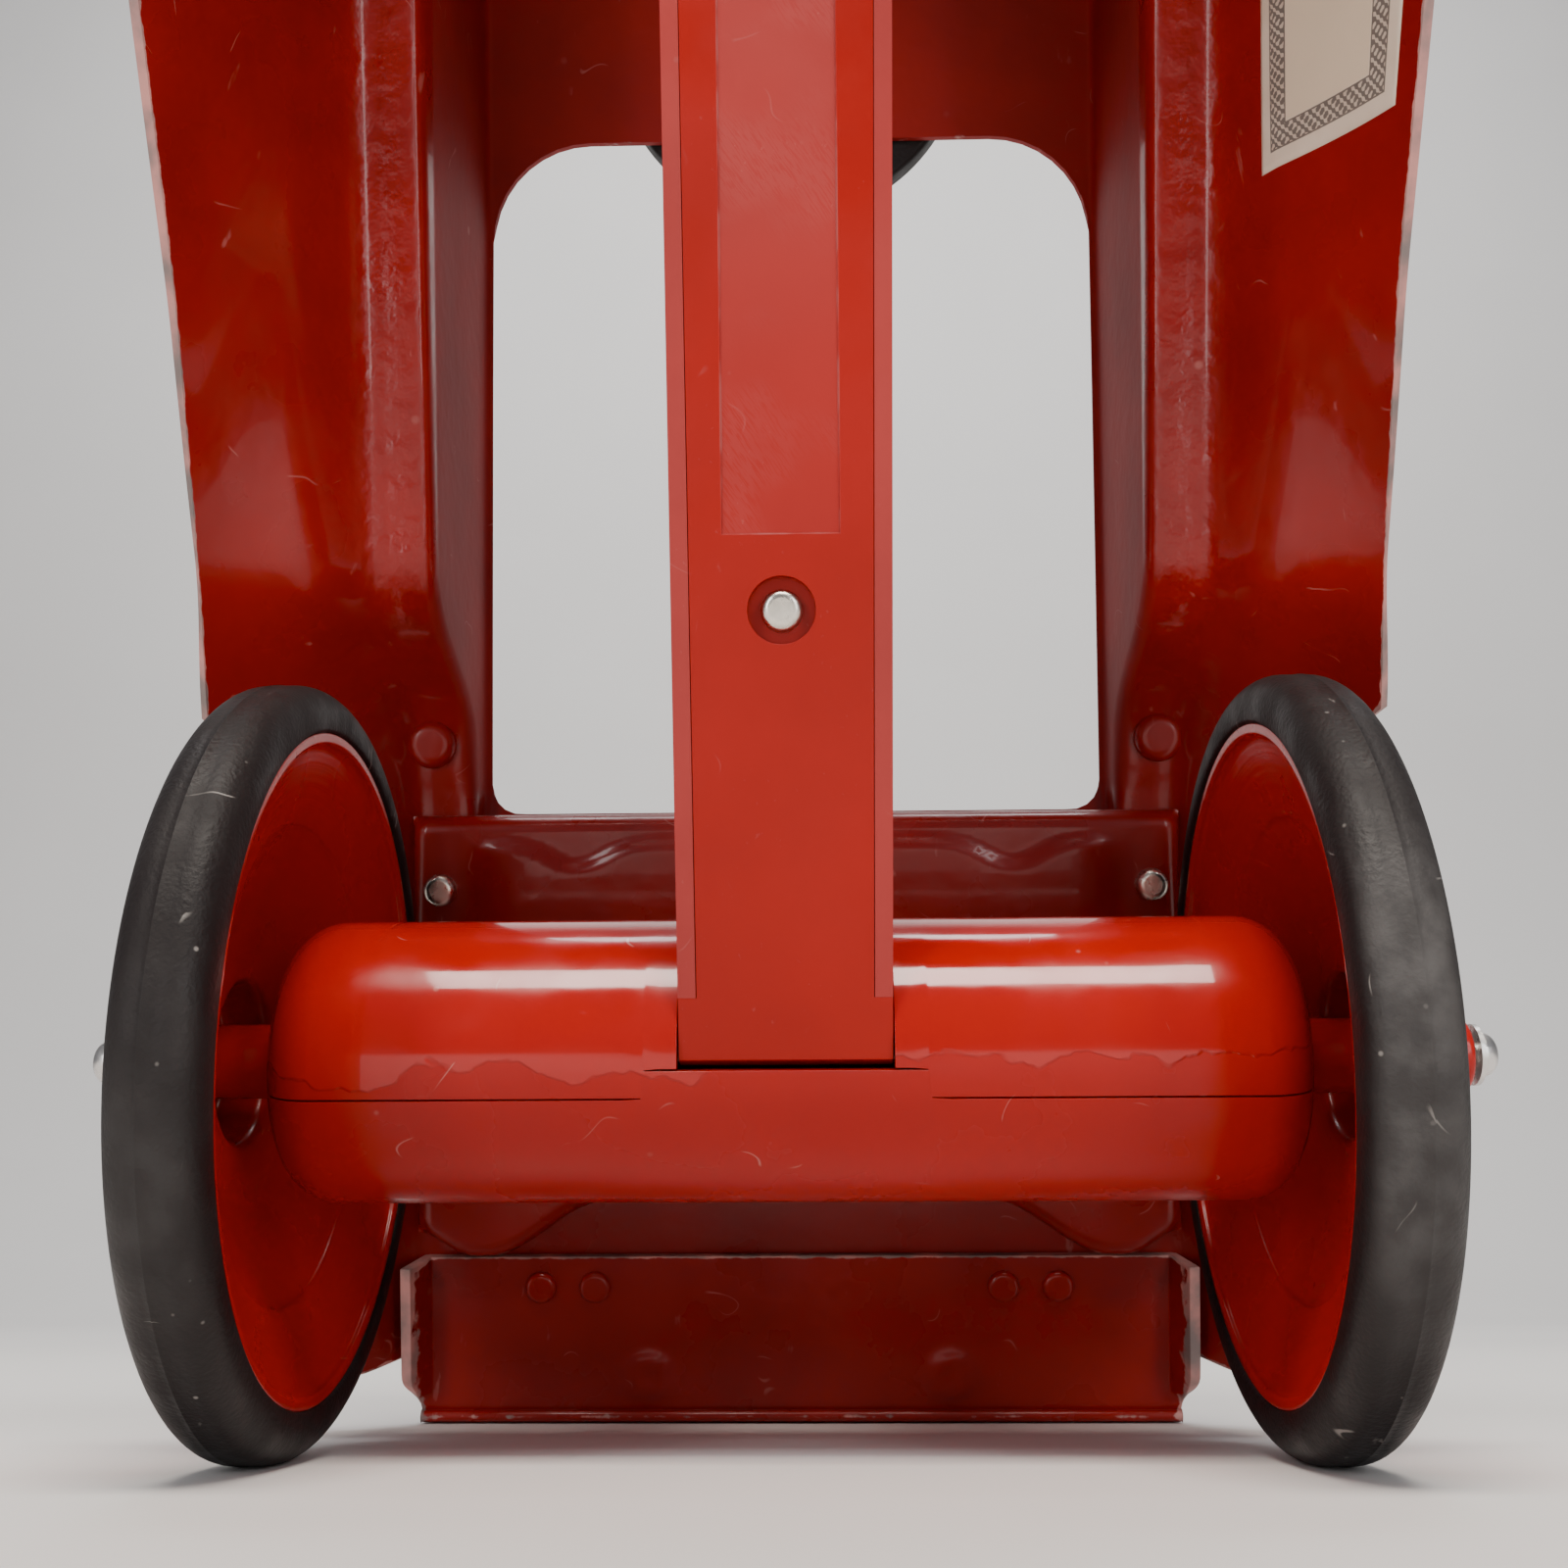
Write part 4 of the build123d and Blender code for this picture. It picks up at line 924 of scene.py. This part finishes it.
def hub_outline(seat):
    """The hub's section as (distance from the middle of the truck, radius): a rim, a dished
    cone in two steps, a pocket and a long boss, all of one wall."""
    lip = seat - 1.55
    points = [(60.9, seat), (60.9, lip), (62.1, lip), (65.4, 31.7), (66.2, 31.3), (72.5, 18.0),
              (72.5, 10.5), (79.8, 10.5), (79.8, 4.85), (66.3, 4.85), (66.3, 3.02), (88.4, 3.02),
              (88.4, 4.85), (81.6, 4.85), (81.6, 12.3), (74.3, 12.3), (74.3, 18.8), (68.0, 32.1),
              (67.2, 33.3), (63.9, lip), (71.1, lip), (71.1, seat)]
    reach = [0.3, 0.7, 1.2, 1.6, 1.0, 2.4, 1.6, 1.6, 1.0, 0.5, 0.2, 0.2, 0.8, 1.0, 1.6, 1.6, 2.0,
             1.0, 1.6, 1.2, 0.5, 0.3]
    return rounded(points, reach, 5)


def tyre_outline(inner, width, radius, rubber_height, shoulder):
    """The tyre's section as (distance from the middle, radius): two quarter round shoulders, a
    fine parting ridge between them, and a bead seat. Returns it with a mark that is 1 on the
    tread."""
    outer, seat = inner + width, radius - rubber_height
    a = np.linspace(0, np.pi / 2, 11)
    across, up = shoulder * (1 - np.cos(a)), radius - shoulder + shoulder * np.sin(a)
    first = np.stack([inner + across, up], -1)
    last = np.stack([outer - shoulder * (1 - np.sin(a)), radius - shoulder + shoulder * np.cos(a)],
                    -1)
    middle = inner + 0.56 * width
    ridge = np.array([[middle - 0.16, radius], [middle - 0.05, radius + 0.09],
                      [middle + 0.05, radius + 0.09], [middle + 0.16, radius]])
    bead = np.array([[outer, seat + 0.5], [outer - 0.4, seat], [inner + 0.4, seat],
                     [inner, seat + 0.5]])
    outline = np.concatenate([first, ridge, last, bead])
    return outline, smooth_step(radius - 2.6, radius - 0.2, outline[:, 1])


class TRUCK_OT_wheels(Operator):
    """Builds both dished hubs and both tyres"""
    bl_idname = "truck.wheels"
    bl_label = "Wheels"

    def execute(self, context):
        sizes = lengths(context)
        radius, rubber_height = sizes.wheel_radius, sizes.tyre_height
        steps = 168
        for name, side in (("left", -1.0), ("right", 1.0)):
            body = "wheel_" + name
            outline = hub_outline(radius - rubber_height - 0.02)
            hub = turned_piece("hub_" + name, outline, AXLE, side * RIGHT, AHEAD, steps, 50.0)
            settle(hub, body, "wheel_plastic", "hub", "wheel_hub_" + name)
            outline, tread = tyre_outline(sizes.tyre_inner, sizes.tyre_width, radius,
                                          rubber_height, shoulder=4.0)
            tyre = turned_piece("tyre_ring_" + name, outline, AXLE, side * RIGHT, AHEAD, steps,
                                60.0, tread=tread)
            settle(tyre, body, "tyre_rubber", "tyre", "tyre_" + name)
            finish_nodes("bush", "hub_bush_" + name)
        return {"FINISHED"}


class TRUCK_OT_metalwork(Operator):
    """Gives the axle, its bushes and caps and all the screws their metal and plastic"""
    bl_idname = "truck.metalwork"
    bl_label = "Axle and screws"

    def execute(self, context):
        finish_nodes("axle", "axle_rod", "axle_caps", "axle_washers")
        finish_nodes("bush", "axle_bush_left", "axle_bush_right")
        finish_nodes("screw", "cross_plate_screws", "cover_screws", "spine_top_screws",
                     "saddle_screws", "bumper_screw", "post_screws")
        return {"FINISHED"}


# ---- Bumper and handle

BUMPER_HEIGHT = 168.0


class TRUCK_OT_bumper(Operator):
    """Builds the round rubber pad on the front of the shell, with its turned grooves"""
    bl_idname = "truck.bumper"
    bl_label = "Bumper pad"

    def execute(self, context):
        rear, front = 73.62, 81.6
        sunk, groove = front - 3.0, front - 0.8
        points = [(rear, 31.5), (rear, 1.6), (sunk, 1.6), (sunk, 4.2), (front, 4.2),
                  (front, 12.0), (groove, 12.8), (front, 13.6), (front, 20.0), (groove, 20.8),
                  (front, 21.6), (front, 31.5)]
        reach = [1.0, 0.3, 0.3, 0.4, 0.5, 0.3, 0.5, 0.3, 0.3, 0.5, 0.3, 3.0]
        centre = AXLE + MM * BUMPER_HEIGHT * UP
        pad = turned_piece("bumper_disc", rounded(points, reach, 6), centre, AHEAD, RIGHT, 120,
                           60.0)
        settle(pad, "truck", "black_rubber", "pad", "bumper_pad")
        return {"FINISHED"}


def grip_outline(start, end, radius, bore):
    """A grip's section as (distance along the bar, radius): a closed domed end, an open end
    with a collar, and between them ribs r = radius - 0.5 + 0.5 |sin(pi n t)|^0.6."""
    t = np.linspace(0, 1, 181)
    along = start + 4.0 + (end - start - 9.0) * t
    ribs = radius - 0.55 + 0.45 * np.abs(np.sin(np.pi * 14 * t)) ** 0.6
    dome = np.linspace(0, np.pi / 2, 10)
    lip = start + 3.6
    collar = rounded([(start, bore), (start, radius), (lip, radius), (lip, bore)], 0.9)
    cap_radius = ribs[-1]
    cap = np.stack([end - 4.5 + 4.5 * np.sin(dome), 0.001 + cap_radius * np.cos(dome)], -1)
    body = np.stack([along, ribs], -1)
    inside = np.array([[end - 2.2, 0.001], [end - 2.2, bore]])
    return np.concatenate([collar[:-5], body, cap, inside])


class TRUCK_OT_handle(Operator):
    """Builds the ribbed grips and finishes the handle's post, bar and tee"""
    bl_idname = "truck.handle"
    bl_label = "Handle"

    def execute(self, context):
        low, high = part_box("handle_bar")
        centre = np.array((low + high) / 2)
        for name, side in (("left", -1.0), ("right", 1.0)):
            outline = grip_outline(start=20.0, end=74.0, radius=9.5, bore=6.05)
            grip = turned_piece("grip_sleeve_" + name, outline, centre, side * RIGHT, AHEAD, 64,
                                50.0)
            settle(grip, "truck", "black_rubber", "pad", "grip_" + name)
        finish_nodes("chrome", "handle_post", "handle_bar")
        tee = refined_copy("handle_tee", "handle_socket")
        shade(tee.data, 35.0)
        settle(tee, "truck", "housing_plastic", "housing", "handle_tee")
        return {"FINISHED"}


# ---- Label

LABEL_START, LABEL_FOOT = 5.84, 121.6      # along c, as shell_point takes it, and up the wing
LABEL_LIFT = (0.1 * 0.86, 0.1 * 0.5)       # off the paint, in millimetres of x and depth


class TRUCK_OT_label(Operator):
    """Lays the plain printed label on the right wing, a hair above the paint"""
    bl_idname = "truck.label"
    bl_label = "Label"

    def execute(self, context):
        u, v = np.meshgrid(np.linspace(0, 1, 40), np.linspace(0, 1, 40))
        height = LABEL_FOOT + 1.6 * u + lengths(context).label_length * v
        x, depth = shell_point(LABEL_START + u, height)
        x, depth = x - LABEL_LIFT[0], depth - LABEL_LIFT[1]
        label = new_piece("wing_label", place(x, depth, height), grid_faces(*x.shape), 60.0,
                          outward=False)
        mesh = label.data
        layer = mesh.uv_layers.new(name="label")
        corners = np.zeros(len(mesh.loops), np.int32)
        mesh.loops.foreach_get("vertex_index", corners)
        points = np.zeros(len(mesh.vertices) * 3)
        mesh.vertices.foreach_get("co", points)
        nearest = np.argmin(np.linalg.norm(
            points.reshape(-1, 1, 3) - place(x, depth, height).reshape(1, -1, 3), axis=2), axis=1)
        uv = np.stack([u.ravel()[nearest], v.ravel()[nearest]], -1)[corners]
        layer.data.foreach_set("uv", uv.astype(np.float32).ravel())
        thicken(label, 0.08)
        settle(label, "truck", "shell_paint", "label")
        return {"FINISHED"}


# ---- Stage

CAMERA_PLACE = (4.9, -220.55, 38.45)    # x, depth and height in millimetres
CAMERA_TURN = (1.35, -0.55, 0.56)       # yaw, pitch and roll in degrees, off the leaning frame


def area_light(name, place_at, target, size, power, colour=(1.0, 1.0, 1.0)):
    """A soft rectangular light at a point, turned to face another, both in metres."""
    data = bpy.data.lights.new(name, "AREA")
    data.shape, data.size, data.size_y = "RECTANGLE", size[0], size[1]
    data.energy, data.color = power, colour
    light = bpy.data.objects.new(name, data)
    light.location = Vector(place_at)
    light.rotation_mode = "QUATERNION"
    light.rotation_quaternion = (Vector(place_at) - Vector(target)).to_track_quat("Z", "Y")
    bpy.context.scene.collection.objects.link(light)


class TRUCK_OT_stage(Operator):
    """Lays the pale floor and backdrop and sets the lights and the camera"""
    bl_idname = "truck.stage"
    bl_label = "Stage, lights and camera"

    def execute(self, context):
        stage = context.scene.truck_stage
        turn = np.linspace(0, np.pi / 2, 17)
        y = np.concatenate([[-4.0, -1.0, 0.0, 0.6], 1.2 + 0.8 * np.sin(turn), [2.0]])
        z = np.concatenate([[0.0, 0.0, 0.0, 0.0], 0.8 - 0.8 * np.cos(turn), [3.5]])
        x = np.linspace(-4.0, 4.0, 9)
        points = np.stack(np.broadcast_arrays(x[None], y[:, None], z[:, None]), -1)
        floor = new_piece("floor_sweep", points, grid_faces(len(y), len(x)), 60.0, outward=False)
        bpy.context.scene.collection.objects.link(floor)
        floor.data.materials.append(material_for("board"))

        middle = (0.0, -0.1, 0.1)
        area_light("key_softbox", (0.02, -0.6, 0.92), middle, (0.6, 0.3), stage.key_power,
                   (1.0, 0.93, 0.84))
        for name, x in (("left_strip", -0.5), ("right_strip", 0.5)):
            area_light(name, (x, -0.85, 0.26), middle, (0.14, 0.5), stage.side_power)
        area_light("backdrop_light", (0.0, 0.5, 2.2), (0.0, 2.0, 0.6), (2.0, 0.8), stage.back_power)
        world = bpy.data.worlds.new("studio")
        context.scene.world = world
        world.use_nodes = True
        Graph(world.node_tree).fill(world.node_tree.nodes["Background"],
                                    {"Color": (0.9, 0.92, 1.0, 1.0), "Strength": stage.sky})

        data = bpy.data.cameras.new("camera")
        data.lens, data.sensor_width = stage.lens, 36.0
        data.clip_start, data.clip_end = 0.01, 20.0
        camera = bpy.data.objects.new("camera", data)
        context.scene.collection.objects.link(camera)
        yaw, pitch, roll = (math.radians(v) for v in CAMERA_TURN)
        swing = (Matrix.Rotation(yaw, 3, "Z") @ Matrix.Rotation(pitch, 3, "X")
                 @ Matrix.Rotation(roll, 3, "Y"))
        leaning = Matrix((RIGHT, AHEAD, UP)).transposed()
        seen = leaning @ swing
        turned_axes = Matrix((seen.col[0], seen.col[2], -seen.col[1])).transposed()
        camera.matrix_world = Matrix.Translation(place(*CAMERA_PLACE)) @ turned_axes.to_4x4()
        context.scene.camera = camera
        return {"FINISHED"}


# ---- Settings


def colour_setting(name, description, default):
    """A colour in linear red, green and blue."""
    return FloatVectorProperty(name=name, description=description, default=default, size=3,
                               subtype="COLOR", min=0.0, max=1.0)


def length_setting(name, description, default):
    """A length in metres."""
    return FloatProperty(name=name, description=description, default=default, min=0.0,
                         unit="LENGTH")


def power_setting(name, default):
    """The power of a light in watts."""
    return FloatProperty(name=name, description="Power of the light", default=default,
                         subtype="POWER")


class TruckFinish(PropertyGroup):
    enamel: colour_setting("Enamel", "Paint of the pressed shell and plates", (0.3, 0.005, 0.002))
    worn: colour_setting("Worn edge", "Primer that shows along rubbed edges", (0.62, 0.28, 0.25))
    plastic: colour_setting("Spine plastic", "Colour of the spine", (0.36, 0.005, 0.001))
    housing: colour_setting("Housing plastic", "Colour of the axle housing", (0.37, 0.004, 0.001))
    hub: colour_setting("Hub plastic", "Colour of the wheel discs", (0.42, 0.004, 0.001))
    rubber: colour_setting("Rubber", "Colour of clean rubber", (0.009, 0.006, 0.006))
    board: colour_setting("Floor", "Colour of the floor and backdrop", (0.78, 0.76, 0.74))


class TruckSizes(PropertyGroup):
    shell_sheet: length_setting("Shell sheet", "Thickness of the shell", 0.0015)
    arch_radius: length_setting("Wheel arch", "Radius of the wheel arches", 0.053)
    plate_round: length_setting("Plate edge", "Radius of the cross plate's edges", 0.003)
    housing_radius: length_setting("Housing radius", "Radius of the axle housing", 0.016)
    housing_corner: length_setting("Housing corner", "Radius of the housing's ends", 0.0045)
    housing_half: length_setting("Housing half", "Half the length of the housing", 0.063)
    wheel_radius: length_setting("Wheel radius", "Radius over the tread", 0.05)
    tyre_height: length_setting("Rubber height", "Depth of the tyre's rubber", 0.00625)
    tyre_width: length_setting("Tyre width", "Width of the tyre", 0.011)
    tyre_inner: length_setting("Tyre inner side", "From the truck's middle to the tyre", 0.0605)
    label_width: length_setting("Label width", "Width of the wing's label", 0.026)
    label_length: length_setting("Label length", "Length of the wing's label", 0.044)


class TruckStage(PropertyGroup):
    lens: FloatProperty(name="Lens", description="Focal length", default=38.34, unit="CAMERA")
    key_power: power_setting("Key light", 13.0)
    side_power: power_setting("Side lights", 2.2)
    back_power: power_setting("Backdrop light", 45.0)
    sky: FloatProperty(name="Room light", description="Strength of the even light", default=0.25)


class TRUCK_PT_panel(Panel):
    """Lists the truck's pieces and settings"""
    bl_idname = "TRUCK_PT_panel"
    bl_label = "Hand truck"
    bl_space_type = "VIEW_3D"
    bl_region_type = "UI"
    bl_category = "Hand truck"

    def draw(self, context):
        for name, _ in SETTINGS:
            settings = getattr(context.scene, name)
            box = self.layout.box()
            for key in settings.__annotations__:
                box.prop(settings, key)
        for operator in OPERATORS:
            self.layout.operator(operator.bl_idname)


OPERATORS = (TRUCK_OT_stage, TRUCK_OT_shell, TRUCK_OT_plates, TRUCK_OT_spine, TRUCK_OT_housing,
             TRUCK_OT_wheels, TRUCK_OT_metalwork, TRUCK_OT_bumper, TRUCK_OT_handle, TRUCK_OT_label)
SETTINGS = (("truck_finish", TruckFinish), ("truck_sizes", TruckSizes), ("truck_stage", TruckStage))
CLASSES = (*(kind for _, kind in SETTINGS), *OPERATORS, TRUCK_PT_panel)


def register():
    """Adds the classes and the scene's settings to Blender."""
    for kind in CLASSES:
        bpy.utils.register_class(kind)
    for name, kind in SETTINGS:
        setattr(bpy.types.Scene, name, PointerProperty(type=kind))


def unregister():
    """Takes them away again."""
    for name, _ in SETTINGS:
        delattr(bpy.types.Scene, name)
    for kind in reversed(CLASSES):
        bpy.utils.unregister_class(kind)


def main():
    """Builds every piece."""
    register()
    bpy.ops.truck.stage()
    bpy.ops.truck.shell()
    bpy.ops.truck.plates()
    bpy.ops.truck.spine()
    bpy.ops.truck.housing()
    bpy.ops.truck.wheels()
    bpy.ops.truck.metalwork()
    bpy.ops.truck.bumper()
    bpy.ops.truck.handle()
    bpy.ops.truck.label()


if __name__ == "__main__":
    main()
